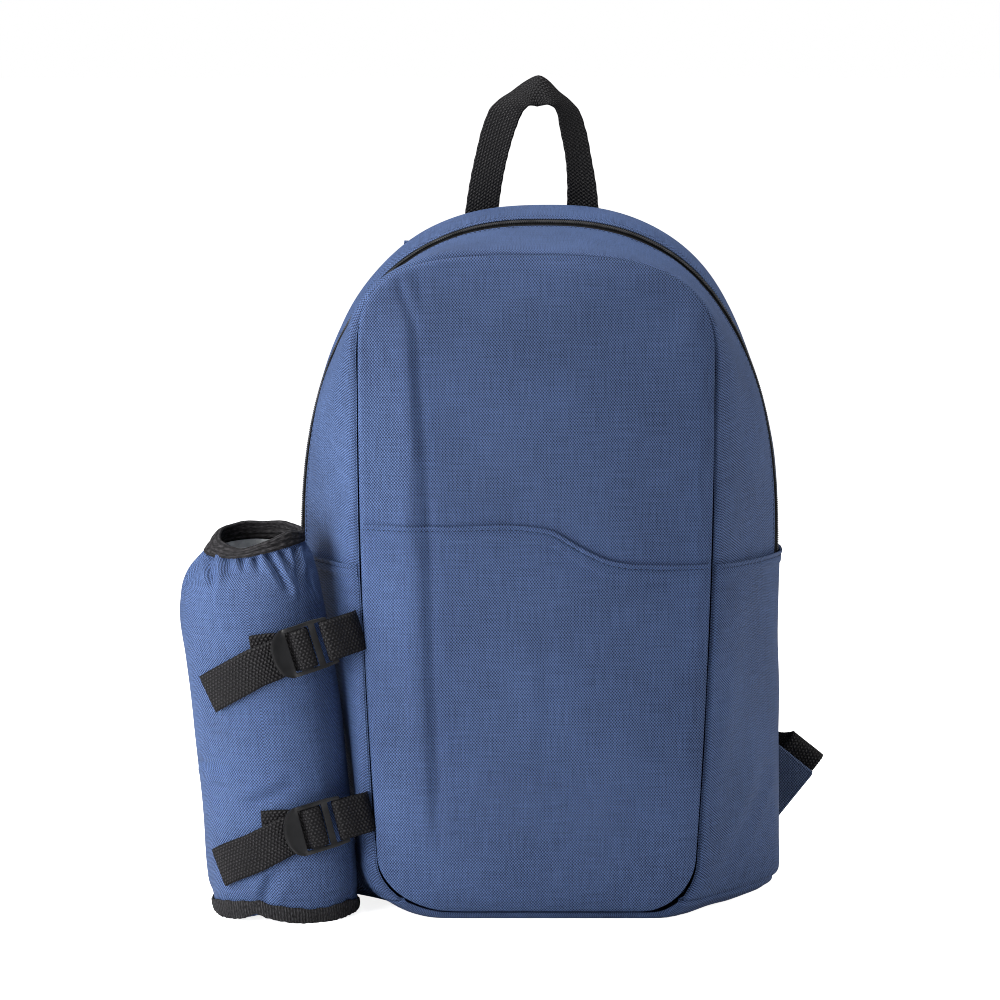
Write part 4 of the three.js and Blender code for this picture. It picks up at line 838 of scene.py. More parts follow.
YF = stations(-67.2, 11.4, int(52 * FINE), near=((-66, 3, 5), (10, 3, 4)))
TT = arch_t(int(210 * FINE), YF)
TT[0] += 0.0007
TT[-1] -= 0.0007
P = side_point(YF[None, :] + 0 * TT, TT)
edge = np.minimum(YF - YF[0], YF[-1] - YF)[None, :] + 0 * TT
shell("gusset_front_cloth", P, taper(edge, 0.4, 2.4, 7), like=LIKE(P), material=M_CLOTH, replaces=("gusset_front",), slot="pack_cloth")

YR = stations(ZIP_Y[0], 72.0, int(44 * FINE), near=((24, 3, 3), (70, 3, 4)))
T_ZIP = float(t_at_z(17.0, ZIP_END_Z))
zs = int(150 * FINE)
YR1 = YR[YR > 22.4]
YR1 = np.concatenate([[22.4], YR1])
TT = arch_t(int(210 * FINE), YR1)
TT[0] += 0.0007
TT[-1] -= 0.0007
P = side_point(YR1[None, :] + 0 * TT, TT)
edge = np.minimum(YR1 - YR1[0], YR1[-1] - YR1)[None, :] + 0 * TT
shell("gusset_rear_cloth", P, taper(edge, 0.4, 2.4, 7), like=LIKE(P), material=M_CLOTH, replaces=("gusset_rear",), slot="pack_cloth")
# below the zip's ends the same cloth joins the front and the rear
for sd, nm in ((1, "right"), (-1, "left")):
    ys = np.linspace(11.6, 22.2, 9)
    tt = np.linspace(0, 1, int(50 * FINE))
    TT = np.array([sd * lerp(float(seam_t(y, sd)) + 0.0007, T_ZIP - 0.004, tt) for y in ys]).T
    P = side_point(ys[None, :] + 0 * TT, TT)
    shell(f"zip_end_cloth_{nm}", P, 1.2, like=LIKE(P), material=M_CLOTH, slot="pack_cloth")

# the base
YB = stations(-67.2, 72.0, int(70 * FINE), near=((-66, 3, 4), (70, 3, 3)))
fr = stations(-1, 1, int(150 * FINE), near=((-1, 0.06, 3), (1, 0.06, 3)))
TT = np.array([np.where(fr < 0, fr * float(seam_t(y, -1)), fr * float(seam_t(y, 1))) for y in YB]).T
P = side_point(YB[None, :] + 0 * TT, TT)
edge = np.minimum(YB - YB[0], YB[-1] - YB)[None, :] + 0 * TT
shell("base_cloth", P, taper(edge, 0.4, 2.4, 7), like=LIKE(P), material=M_CLOTH, replaces=("base_panel",), slot="pack_cloth")

# side pockets
for sd, nm in ((1, "right"), (-1, "left")):
    ys = stations(-66.9, 72.0, int(72 * FINE), near=((-66, 3, 4), (70, 3, 3)))
    q = stations(0, 1, int(110 * FINE), near=((1, 0.04, 4), (0, 0.02, 3)))
    lo = seam_t(ys, sd) + 0.0028
    hi = t_at_z(ys, lerp(SIDE_HEM_Z[0], SIDE_HEM_Z[1], seam_share(ys)), sd)
    TT = sd * (lo[None] + (hi - lo)[None] * q[:, None])
    YY = ys[None] + 0 * TT
    drop = (1 - q[:, None]) * (hi - lo)[None] * T_LEN            # mm below the hem
    gape = (1.6 if sd > 0 else 0.7) * np.sin(np.pi * np.clip((YY + 66.9) / 139, 0, 1)) * np.exp(-drop / 26)
    hem = 0.7 * (1 - smooth((drop - 8.2) / 0.9)) + 0.35 * np.exp(-(((drop - 0.9) / 1.1) ** 2)) - 0.4 * np.exp(-(((drop - 3.2) / 0.7) ** 2))
    P = side_point(YY, TT, np.interp(YY, [-66.9, -61], [0.55, 1.2]) + gape + hem, zip_lips=False)
    ob = shell(f"side_pocket_cloth_{nm}", P, 0.7 + hem * 0.6, like=LIKE(P), material=M_CLOTH, replaces=(f"side_pocket_{nm}",), slot="pack_cloth")

# front pocket
def half_x(z):
    """Left and right ends of the front at a height, 0.8 mm inside its seam."""
    r = SEAM[SEAM_T > 0.001]
    l = SEAM[SEAM_T < -0.001][::-1]
    inset = 0.8
    return np.interp(z, l[:, 1] + 0, l[:, 0]) + inset, np.interp(z, r[:, 1], r[:, 0]) - inset


ue = stations(-1, 1, int(170 * FINE), near=((-1, 0.03, 3), (1, 0.03, 3)))
q = stations(0, 1, int(150 * FINE), near=((1, 0.03, 4), (0, 0.02, 3)))
xl0, xr0 = half_x(np.full(ue.shape, 232.0))
xe = lerp(xl0, xr0, (ue + 1) / 2)
ze = curve(POCKET_EDGE[:, 0], POCKET_EDGE[:, 1], xe)
for _ in range(3):
    xl0, xr0 = half_x(ze)
    xe = lerp(xl0, xr0, (ue + 1) / 2)
    ze = curve(POCKET_EDGE[:, 0], POCKET_EDGE[:, 1], xe)
Z = 5.9 + (ze[None] - 5.9) * q[:, None]
XL, XR = half_x(Z)
X = lerp(XL, XR, (ue[None] + 1) / 2)
drop = ze[None] - Z
hem = 0.75 * (1 - smooth((drop - 9.0) / 0.9)) + 0.35 * np.exp(-(((drop - 0.9) / 1.1) ** 2)) - 0.45 * np.exp(-(((drop - 3.0) / 0.7) ** 2))
inside = smooth(seam_distance(X, Z) / 14)
belly = 0.5 * inside * smooth(drop / 60)
y = front_surface(X, Z) - 1.15 - hem - belly
P = lean(X, y, Z)
pocket = shell("front_pocket_cloth", P, 0.7 + hem * 0.6, like=np.broadcast_to(vec(0, -1, 0), P.shape), uv=np.stack([X, Z], -1), material=M_CLOTH, replaces=("front_pocket",), slot="pack_cloth")

# ------------------------------------------------------------------ stitches
class Stitches:
    def __init__(self):
        self.v, self.f = [], []

    def line(self, P, N, pitch=3.2, length=2.2, width=0.62, height=0.3):
        """Thread lying on the points P with normals N."""
        d = np.concatenate([[0], np.cumsum(np.linalg.norm(np.diff(P, axis=0), axis=1))])
        for c in np.arange(pitch / 2, d[-1], pitch):
            a, b, m = ([np.interp(x, d, P[:, k]) for k in range(3)] for x in (c - length / 2, c + length / 2, c))
            a, b, m = map(np.array, (a, b, m))
            n = unit(np.array([np.interp(c, d, N[:, k]) for k in range(3)]))
            T = unit(b - a)
            B = np.cross(n, T)
            i = len(self.v)
            mid = [m + B * width / 2 * math.cos(w) + n * height * max(-0.4, math.sin(w)) for w in np.linspace(0, 2 * math.pi, 7)[:-1]]
            q1 = [a + (p - m) * 0.75 + T * 0.25 * length for p in mid]
            q2 = [b + (p - m) * 0.75 - T * 0.25 * length for p in mid]
            self.v += [a - n * 0.15, *q1, *q2, b - n * 0.15]
            for k in range(6):
                j = (k + 1) % 6
                self.f += [(i, i + 1 + j, i + 1 + k), (i + 1 + k, i + 1 + j, i + 7 + j, i + 7 + k), (i + 13, i + 7 + k, i + 7 + j)]

    def done(self, name, material, slot):
        return make(name, np.array(self.v), self.f, None, material=material, slot=slot)


st = Stitches()
black = Stitches()
# front pocket's hem
xh = xe
zh = ze - 3.0
P = lean(xh, front_surface(xh, zh) - 1.15 - 0.38, zh)
st.line(P, np.broadcast_to(vec(0, -1, 0), P.shape), pitch=3.4, length=2.3)
# beside the zip, front and back
for y0, z_lo in ((7.6, 219), (26.8, 219)):
    t0 = float(t_at_z(y0, z_lo))
    t1 = float(t_at_z(y0, z_lo, -1))
    T = np.concatenate([np.linspace(t0, 1, 260), -np.linspace(t1, 1, 260)[::-1][1:]])
    P, N, h = side_shape(np.full(T.shape, y0), T)
    st.line(P + N * (h + 0.12)[:, None], N, pitch=3.0, length=2.0, width=0.55, height=0.25)
# side pocket hems
for sd in (1, -1):
    ys = np.linspace(-64, 69, 160)
    hi = t_at_z(ys, lerp(SIDE_HEM_Z[0], SIDE_HEM_Z[1], seam_share(ys)), sd) - 3.2 / T_LEN
    P, N, h = side_shape(ys, sd * hi, zip_lips=False)
    gape = (1.6 if sd > 0 else 0.7) * np.sin(np.pi * np.clip((ys + 66.9) / 139, 0, 1)) * math.exp(-3.2 / 26)
    st.line(P + N * (h + gape + 1.2 + 0.42)[:, None], N, pitch=3.4, length=2.3)

# ------------------------------------------------------------------ the zip
ZT = np.concatenate([np.linspace(T_ZIP - 0.003, 1, int(240 * FINE)), -np.linspace(T_ZIP - 0.003, 1, int(240 * FINE))[::-1][1:]])
yz = np.array([10.6, 11.6, 12.8, 14.0, 15.2, 16.0, 16.6, 17.2, 17.8, 18.4, 19.2, 20.4, 21.4, 22.2, 23.2])
TT = ZT[:, None] + 0 * yz[None]
P0, N0 = body(yz[None] + 0 * TT, TT)
P = P0 - N0 * ((0.36 + 0.75 * np.interp(yz, [10.6, 11.6, 12.8, 21.4, 22.2, 23.2], [1, 0.25, 0, 0, 0.25, 1]))[None] - np.interp(yz, [10.6, 12.4, 17.2, 22.4], [-1.0, -0.7, 0.0, 0.6])[None] * smooth((P0[..., 2] - 330) / 60))[..., None]
shell("zip_tape", P, 0.45, like=LIKE(P), material=M_TAPE, replaces=("zipper",), slot="zip")
# the coil: two rows of turned-back wire, meshed in the middle
Pm, Nm = body(np.full(2001, 17.2), np.concatenate([np.linspace(T_ZIP, 1, 1001), -np.linspace(T_ZIP, 1, 1001)[::-1][1:]]))
Pa, _ = body(np.full(2001, 18.2), np.concatenate([np.linspace(T_ZIP, 1, 1001), -np.linspace(T_ZIP, 1, 1001)[::-1][1:]]))
d = np.concatenate([[0], np.cumsum(np.linalg.norm(np.diff(Pm, axis=0), axis=1))])
v, f = [], []
pitch = 1.35
for i, c in enumerate(np.arange(0.8, d[-1] - 0.8, pitch / 2)):
    m = np.array([np.interp(c, d, Pm[:, k]) for k in range(3)])
    n = unit(np.array([np.interp(c, d, Nm[:, k]) for k in range(3)]))
    T = unit(np.array([np.interp(c + 0.6, d, Pm[:, k]) - np.interp(c - 0.6, d, Pm[:, k]) for k in range(3)]))
    B = np.cross(n, T)
    if B[1] < 0:
        B = -B
    sgn = 1 if i % 2 else -1
    m = m - n * 0.05
    ring = []
    for (b, w, hgt) in ((-0.75 * sgn, 0.30, 0.30), (0.3 * sgn, 0.40, 0.78), (1.8 * sgn, 0.40, 0.78), (2.75 * sgn, 0.34, 0.36)):
        ring.append([m + B * b + T * w * math.cos(a) + n * (0.30 + hgt * math.sin(a) * (1 if math.sin(a) > 0 else 0.35)) for a in np.linspace(0, 2 * math.pi, 7)[:-1]])
    o = len(v)
    for r in ring:
        v += r
    for r in range(3):
        for k in range(6):
            j = (k + 1) % 6
            q = (o + 6 * r + k, o + 6 * r + j, o + 6 * r + 6 + j, o + 6 * r + 6 + k)
            f.append(q if sgn > 0 else q[::-1])
    a = tuple(o + k for k in range(6))
    b = tuple(o + 18 + k for k in range(6))
    f.append(a[::-1] if sgn > 0 else a)
    f.append(b if sgn > 0 else b[::-1])
make("zip_coil", np.array(v), f, None, material=M_COIL, slot="zip")


# ------------------------------------------------------------------ rounded blocks and straps
def soft_edges(ob, width, segments=2, angle=40):
    m = ob.modifiers.new("edges", "BEVEL")
    m.width, m.segments, m.limit_method, m.angle_limit = width / 1000, segments, "ANGLE", math.radians(angle)
    m.harden_normals = False
    return ob


def strap(name, points, across, width, thick, step=1.2, wave=0.16, fray=0, **kw):
    """Webbing along points, across being its width direction at each; closed, with rounded selvedges."""
    p = np.asarray(points, float)
    w = np.asarray(across, float)
    both = np.concatenate([p, w * 50], 1)
    at = np.concatenate([[0], np.cumsum(np.linalg.norm(np.diff(p, axis=0), axis=1))])
    n = max(3, int(at[-1] / step))
    g = curve(at, both, np.linspace(0, at[-1], n))
    C, W = g[:, :3], g[:, 3:]
    T = unit(np.gradient(C, axis=0))
    W = unit(W - T * np.einsum("ij,ij->i", W, T)[:, None])
    N = np.cross(T, W)
    L = np.concatenate([[0], np.cumsum(np.linalg.norm(np.diff(C, axis=0), axis=1))])
    wd = np.interp(np.linspace(0, at[-1], n), at, width) if np.ndim(width) else np.full(n, float(width))
    prof = []
    k = 11
    for x in np.linspace(-1, 1, k):
        prof.append((x * (1 - 0.012), 0.5 * (1 - 0.35 * abs(x) ** 10)))
    prof = prof + [(1.0, 0.0)] + [(x, -y) for x, y in reversed(prof)] + [(-1.0, 0.0)]
    prof = np.array(prof)
    edge = 1 + (wave * np.sin(L * 2 * math.pi / 1.9) / (wd / 2))
    if fray:
        edge = edge + fray * np.exp(-((L[-1] - L) / 2.0)) * np.sin(L * 5.1) / wd
    ring = C[:, None] + W[:, None] * (prof[None, :, :1] * (wd / 2 * edge)[:, None, None]) + N[:, None] * (prof[None, :, 1:] * thick)
    b = Build()
    ids = b.points(ring).reshape(n, len(prof))
    u = np.concatenate([prof[:, 0] * float(np.mean(wd)) / 2, [prof[0, 0] * float(np.mean(wd)) / 2]])
    uv = np.stack(np.broadcast_arrays(u[None, :], L[:, None]), -1)
    b.quads(ids, uv, loop_j=True)
    m = len(prof)
    for e, fl in ((0, True), (n - 1, False)):
        c = b.points(C[e:e + 1])[0]
        for i in range(m):
            j = (i + 1) % m
            t = (ids[e, i], ids[e, j], c)
            b.face(t[::-1] if not fl else t, [(u[i], L[e])] * 3)
    ob = b.done(name, **kw)
    fix_normals(ob)
    return ob


def fix_normals(ob):
    import bmesh
    bm = bmesh.new()
    bm.from_mesh(ob.data)
    bmesh.ops.recalc_face_normals(bm, faces=bm.faces)
    bm.to_mesh(ob.data)
    bm.free()
    ob.data.polygons.foreach_set("use_smooth", [True] * len(ob.data.polygons))


def slab(name, cells, xs, ys, height, thick, place, rows=None, bevel=0.45, **kw):
    """A plate on a grid: cells[i][j] says what is solid between xs[i], xs[i+1] and ys[j], ys[j+1]. height(x, y) lifts its
    middle plane, thick(x, y) is its thickness, and place(x, y, n) puts a point in the frame. rows(x, y) may move a corner."""
    v, f, ids = [], [], {}

    def at(i, j, k):
        key = (i, j, k)
        if key not in ids:
            x, y = xs[i], ys[j]
            if rows:
                x, y = rows(x, y, i, j)
            n = height(x, y) + (0.5 if k else -0.5) * thick(x, y)
            ids[key] = len(v)
            v.append(place(x, y, n))
        return ids[key]

    ni, nj = len(xs) - 1, len(ys) - 1
    solid = lambda i, j: 0 <= i < ni and 0 <= j < nj and cells(i, j)
    for i in range(ni):
        for j in range(nj):
            if not solid(i, j):
                continue
            f.append((at(i, j, 1), at(i + 1, j, 1), at(i + 1, j + 1, 1), at(i, j + 1, 1)))
            f.append((at(i, j, 0), at(i, j + 1, 0), at(i + 1, j + 1, 0), at(i + 1, j, 0)))
            for (di, dj, a, b) in ((-1, 0, (i, j), (i, j + 1)), (1, 0, (i + 1, j + 1), (i + 1, j)), (0, -1, (i + 1, j), (i, j)), (0, 1, (i, j + 1), (i + 1, j + 1))):
                if not solid(i + di, j + dj):
                    f.append((at(*a, 1), at(*b, 1), at(*b, 0), at(*a, 0)))
    ob = make(name, np.array(v), f, None, **kw)
    fix_normals(ob)
    soft_edges(ob, bevel, 3, 50)
    return ob


# the slider hangs at the left end of the zip
ps, ns = body(17.2, -(T_ZIP + 0.012))
pq, _ = body(17.2, -(T_ZIP + 0.027))
ups = unit(pq - ps)
outs = unit(ns - ups * (ns @ ups))
acs = np.cross(ups, outs)
xs = np.array([-4.0, -2.6, -1.2, 1.2, 2.6, 4.0])
ys = np.array([-6, -3, 0, 3, 6.0])
slab("zip_slider_body", lambda i, j: True, xs, ys, lambda x, y: 3.3 + 0.3 * (1 - (x / 4) ** 2), lambda x, y: 2.2,
     lambda x, y, n: ps + acs * x + ups * y + outs * n, rows=lambda x, y, i, j: (x * (0.72 + 0.28 * smooth((3 - abs(y - 0)) / 3 + 0.4)), y), bevel=0.5,
     material=M_COIL, replaces=("zip_slider",), slot="plastic")

# ------------------------------------------------------------------ back panel: foam sewn in channels
def back_shape(name):
    ts = np.linspace(-1, 1, int(360 * FINE), endpoint=False)
    ring = skin(np.full(ts.shape, Y_BACK), ts)
    a, b = skin(np.full(ts.shape, Y_BACK), np.maximum(-1, ts - 0.006)), skin(np.full(ts.shape, Y_BACK), np.minimum(1, ts + 0.006))
    d = b - a
    nrm = unit(np.stack([d[:, 2], -d[:, 0]], 1))
    X, Zz, D = [], [], []
    for i in (0.3, 0.7, 1.3, 2.2, 3.4, 5, 7):
        X.append(ring[:, 0] - nrm[:, 0] * i)
        Zz.append(ring[:, 2] - nrm[:, 1] * i)
        D.append(np.full(len(ts), i))
    for f in np.linspace(1, 0, int(64 * FINE) + 1)[1:-1]:
        X.append(lerp(0.0, X[6], f))
        Zz.append(lerp(215.0, Zz[6], f))
        D.append(np.full(len(ts), 40.0))
    X, Zz, D = (np.array(a) for a in (X, Zz, D))

    def puff(x, z, d):
        h = 2.6 * smooth(d / 9)
        for cx in (-52, 52):
            h = h - 2.0 * np.exp(-(((x - cx) / 3.2) ** 2)) * smooth((z - 30) / 20) * smooth((385 - z) / 20)
        for cz in (128, 212, 296):
            h = h - 1.7 * np.exp(-(((z - cz) / 3.2) ** 2)) * smooth((50 - np.abs(x)) / 6)
        return h + 0.5 * ripple(np.stack([x, 0 * x, z], -1)) * smooth(d / 12)
    roll = lambda d: 1.6 * np.exp(-d / 0.8)
    out = lambda x, z, d: np.stack([x, Y_BACK + BACK_PAD - 1.2 + puff(x, z, d) * 0.75 - roll(d), np.maximum(z, 0.2)], -1)
    inn = lambda x, z, d: np.stack([x, Y_BACK + 0.5 + 0 * x, np.maximum(z, 0.2)], -1)
    b = Build()
    n_r, n_t = X.shape
    o, i = b.points(out(X, Zz, D)).reshape(X.shape), b.points(inn(X, Zz, D)).reshape(X.shape)
    mo, mi = b.points(out(np.array([0.0]), np.array([215.0]), np.array([40.0]))), b.points(inn(np.array([0.0]), np.array([215.0]), np.array([40.0])))
    G = np.stack([X, Zz], -1)
    G = np.concatenate([G, G[:, :1]], 1)
    b.quads(o, G, loop_j=True)
    b.quads(i, G, loop_j=True, flip=True)
    b.quads(np.stack([o[0], i[0]]), np.stack([G[0], G[0]]), loop_j=True, flip=True)
    for k in range(n_t):
        j = (k + 1) % n_t
        b.face((o[-1, j], o[-1, k], mo[0]), (G[-1, j], G[-1, k], (0, 215)))
        b.face((i[-1, k], i[-1, j], mi[0]), (G[-1, k], G[-1, j], (0, 215)))
    ob = b.done(name, material=M_CLOTH, replaces=("back_panel",), slot="pack_cloth")
    fix_normals(ob)
    for cx in (-52, 52):
        z = np.linspace(32, 384, 240)
        P = out(np.full(z.shape, float(cx)), z, np.full(z.shape, 40.0))
        st.line(P + vec(0, 0.05, 0), np.broadcast_to(vec(0, 1, 0), P.shape), pitch=3.4, length=2.4)
    for cz in (128, 212, 296):
        x = np.linspace(-50, 50, 80)
        P = out(x, np.full(x.shape, float(cz)), np.full(x.shape, 40.0))
        st.line(P + vec(0, 0.05, 0), np.broadcast_to(vec(0, 1, 0), P.shape), pitch=3.4, length=2.4)
    return ob


back_shape("back_panel_pad")

# ------------------------------------------------------------------ shoulder straps
def pad_shape(side):
    nm = "right" if side > 0 else "left"
    shift = vec(0, 0, 0) if side > 0 else vec(-1.5, 0, 2)
    at = np.concatenate([[0], np.cumsum(np.linalg.norm(np.diff(PAD[:, :3], axis=0), axis=1))])
    L = np.linspace(0, at[-1], int(170 * FINE))
    g = curve(at, PAD, L)
    C, hw, t = g[:, :3], g[:, 3], g[:, 4]
    T = unit(np.gradient(C, axis=0))
    B = unit(np.cross(np.broadcast_to(vec(0, 1, 0), T.shape), T))
    N = unit(np.cross(T, B))
    N = np.where((N[:, 1] < 0)[:, None], -N, N)
    end = np.minimum(L, at[-1] - L)
    us = stations(-1, 1, int(46 * FINE), near=((-1, 0.12, 4), (1, 0.12, 4)))
    d = (1 - np.abs(us))[None] * hw[:, None]
    d = np.minimum(d, end[:, None] + 0.6)
    full = (t / 2 - 0.4)[:, None] * (0.32 + 0.68 * smooth((d - 1.0) / 7.5)) * (0.55 + 0.45 * smooth(d / 1.3))
    groove = 0.9 * np.exp(-(((d - 5.2) / 1.0) ** 2))
    flat = C[:, None] + B[:, None] * (us[None] * hw[:, None])[..., None]
    wob = 0.35 * ripple(flat * 1.4 + 77 * side)
    for cz in np.arange(28, at[-1] - 25, 34.0):
        groove = groove + 0.8 * np.exp(-(((L[:, None] - cz) / 1.6) ** 2)) * smooth((d - 5) / 3)
    top = flat + N[:, None] * (full - groove + wob * smooth(d / 6))[..., None]
    bot = flat - N[:, None] * (full - groove * 0.5)[..., None]
    if side < 0:
        top, bot = top * vec(-1, 1, 1) + shift, bot * vec(-1, 1, 1) + shift
    uv = grid_uv(top)
    ob = shell(f"shoulder_pad_soft_{nm}", top, 1, uv=uv, inner=bot, like=np.broadcast_to(vec(0, 1, 0), top.shape), material=M_CLOTH, replaces=(f"shoulder_pad_{nm}",), slot="pack_cloth")
    fix_normals(ob)
    # stitches along the pad, near its edges
    for u0 in (-0.83, 0.83):
        e = slice(int(6 * FINE), -int(6 * FINE))
        q = C[e] + B[e] * (u0 * hw[e])[:, None]
        h = np.array([np.interp(u0, us, r) for r in (full - groove)[e]])
        q = q + N[e] * (h + 0.25)[:, None]
        nn = N[e]
        if side < 0:
            q, nn = q * vec(-1, 1, 1) + shift, nn * vec(-1, 1, 1)
        st.line(q, nn, pitch=3.4, length=2.3)
    return ob


for sd in (1, -1):
    pad_shape(sd)

A = ADJUSTER
Cc = np.array(A["c"])
last, prev = PAD[-1, :3], PAD[-2, :3]
end = last + unit(last - prev) * 3.6
Ta = unit((end - Cc) * vec(1, 0, 1))
Ba, Na = vec(-Ta[2], 0, Ta[0]), vec(0, 1, 0)
over, mid = A["t"] / 2 + 0.35 + WEB_T / 2, sum(A["slot"]) / 2
half = [(13, -over), (7.2, -over), (mid + 0.9, -over + 0.2), (mid, -0.9), (mid, 0.9), (mid - 0.9, over - 0.15), (mid - 2.2, over)]
weave = [(-a, b) for a, b in half] + half[::-1]
pts = [r[:3] for r in STRAP_WEB] + [tuple(Cc + Ta * v + Na * n) for v, n in weave] + [tuple(end)]
acr = [unit(np.array(r[3:])) for r in STRAP_WEB] + [Ba] * (len(weave) + 1)
for sd, nm in ((1, "right"), (-1, "left")):
    m = vec(sd, 1, 1)
    strap(f"strap_webbing_soft_{nm}", [np.array(p) * m for p in pts], [np.array(a) * m for a in acr], WEB - 0.3, WEB_T - 0.1, step=1.0, wave=0.15,
          material=M_WEB, replaces=(f"strap_webbing_{nm}",), slot="webbing")
    xs = np.array([-A["w"] / 2, -A["inner"], -6, 0, 6, A["inner"], A["w"] / 2])
    ys = np.array([-A["l"] / 2, -A["slot"][1], -A["slot"][0], A["slot"][0], A["slot"][1], A["l"] / 2])
    slab(f"strap_adjuster_moulded_{nm}", lambda i, j: not (j in (1, 3) and 1 <= i <= 4), xs, ys, lambda x, y: 0.0, lambda x, y: A["t"],
         lambda x, y, n: (Cc + np.cross(Ta, Na) * x + Ta * y + Na * n) * m, bevel=0.5, material=M_PLASTIC, replaces=(f"strap_adjuster_{nm}",), slot="plastic")

# the tabs that hold the straps' lower ends
def tab(side):
    nm = "right" if side > 0 else "left"
    poly = np.array(TAB, float)
    # from the pack's seam at the left to the webbing at the right: rows of points between the upper and the lower edge
    upper = np.array([(140, 92.8), (158.7, 80.3), (178.5, 64.3)], float)
    lower = np.array([(140, 16), (156.6, 34.7), (178.0, 61.8)], float)
    n_a, n_b = int(60 * FINE), int(44 * FINE)

    def line(p, n):
        d = np.concatenate([[0], np.cumsum(np.hypot(*np.diff(p, axis=0).T))])
        w = np.linspace(0, d[-1], n)
        return np.stack([np.interp(w, d, p[:, 0]), np.interp(w, d, p[:, 1])], 1)
    up, lo = line(upper, n_a), line(lower, n_a)
    s = np.linspace(0, 1, n_b)
    G = up[:, None] * (1 - s)[None, :, None] + lo[:, None] * s[None, :, None]
    wide = np.linalg.norm(up - lo, axis=1)
    d = np.minimum(s[None] * wide[:, None], (1 - s)[None] * wide[:, None])
    dd = d * 0.8
    y_mid = (TAB_Y[0] + TAB_Y[1]) / 2
    half_t = 1.15 * (0.45 + 0.55 * smooth(dd / 1.2)) - 0.25 * np.exp(-(((dd - 2.6) / 0.7) ** 2))
    wob = 0.25 * ripple(np.stack([G[..., 0], 0 * G[..., 0], G[..., 1]], -1) * 1.5)
    F = np.stack([G[..., 0] * side, y_mid - half_t + wob, G[..., 1]], -1)
    Bk = np.stack([G[..., 0] * side, y_mid + half_t + wob, G[..., 1]], -1)
    ob = shell(f"strap_tab_cloth_{nm}", F, 1, inner=Bk, like=np.broadcast_to(vec(0, -1, 0), F.shape), uv=G * vec(1, 1), material=M_TAB, replaces=(f"strap_tab_{nm}",), slot="pack_cloth")
    fix_normals(ob)
    for off in (2.6, 5.2):
        for src, dst in ((up, lo), (lo, up)):
            q = src + unit(dst - src) * off
            keep = np.linalg.norm(src - dst, axis=1) > 2.2 * off
            q = q[keep]
            if len(q) > 4:
                P = np.stack([q[:, 0] * side, np.full(len(q), TAB_Y[0] + 0.15 + (0.1 if off > 3 else 0.25)), q[:, 1]], 1)
                st.line(P, np.broadcast_to(vec(0, -1, 0), P.shape), pitch=2.8, length=1.9, width=0.5)
                P2 = P * vec(1, 0, 1) + vec(0, TAB_Y[1] - 0.2, 0)
                st.line(P2, np.broadcast_to(vec(0, 1, 0), P2.shape), pitch=2.8, length=1.9, width=0.5)


for sd in (1, -1):
    tab(sd)

# ------------------------------------------------------------------ the grab handle
H = np.array(HANDLE, float)
c = (H[:, :3] + H[:, 3:]) / 2
d = H[:, :3] - H[:, 3:]
at = np.concatenate([[0], np.cumsum(np.linalg.norm(np.diff(c, axis=0), axis=1))])
nh = int(190 * FINE)
Lh = np.linspace(0, at[-1], nh)
g = curve(at, np.concatenate([H[:, :3], H[:, 3:]], 1), Lh)
Lh2 = np.concatenate([[0], np.cumsum(np.linalg.norm(np.diff((g[:, :3] + g[:, 3:]) / 2, axis=0), axis=1))])
ns_ = int(30 * FINE)
s = np.linspace(0, 1, ns_)
mid_l = at[7]
bend = np.exp(-(((Lh - mid_l) / 17) ** 2))
G = g[:, None, 3:] * (1 - s)[None, :, None] + g[:, None, :3] * s[None, :, None]
T = np.gradient(G[:, ns_ // 2], axis=0)
Nh = unit(np.cross(T, g[:, :3] - g[:, 3:]))
Nh = np.where((Nh[:, 1] > 0)[:, None], -Nh, Nh)
fold = 2.4 * bend[:, None] * np.sin(np.pi * s)[None] ** 1.0
cup = 0.5 * (1 - bend)[:, None] * (4 * (s - 0.5) ** 2)[None]
G = G + Nh[:, None] * (fold + cup)[..., None]
edge = 0.14 * np.sin(Lh2 * 2 * math.pi / 1.9)
ax = unit(g[:, :3] - g[:, 3:])
G[:, -1] += ax * edge[:, None]
G[:, 0] -= ax * edge[:, None]
uv = np.stack(np.broadcast_arrays((s * 23)[None, :], Lh2[:, None]), -1)
th = 1.3 * (0.55 + 0.45 * smooth(np.minimum(s, 1 - s) / 0.05))
ob = shell("grab_handle_webbing", G + Nh[:, None] * (th / 2)[None, :, None], 1, uv=uv, inner=G - Nh[:, None] * (th / 2)[None, :, None],
           like=np.broadcast_to(vec(0, -1, 0), G.shape), material=M_WEB, replaces=("grab_handle",), slot="webbing")
fix_normals(ob)

# ------------------------------------------------------------------ the bottle sleeve
def sleeve_point(phi, h, lift=0.0):
    row = curve(SLEEVE[:, 0], SLEEVE[:, 1:], h)
    cx, a, b, fore, side = (row[..., k] for k in range(5))
    ex, ey = np.sin(phi) * a, -np.cos(phi) * b
    n = unit(np.stack(np.broadcast_arrays(np.sin(phi) / a, -np.cos(phi) / b, 0 * a), -1))
    z = h + np.tan(np.radians(fore)) * ey + np.tan(np.radians(side)) * ex
    return np.stack(np.broadcast_arrays(cx + ex, SLEEVE_CY + ey, z), -1) + n * np.asarray(lift)[..., None], n


MOUTH = np.array([(-180, 0.9), (-165, 1.6), (-145, 2.3), (-120, 2.2), (-97, 1.0), (-70, -0.2), (-40, -0.9), (-18, -1.2), (-4, -0.3), (10, 1.7), (31, 4.3), (45, 5.2), (60, 4.4), (75, 2.6), (92, 1.2), (120, 0.2), (150, 0.0), (180, 0.9)])


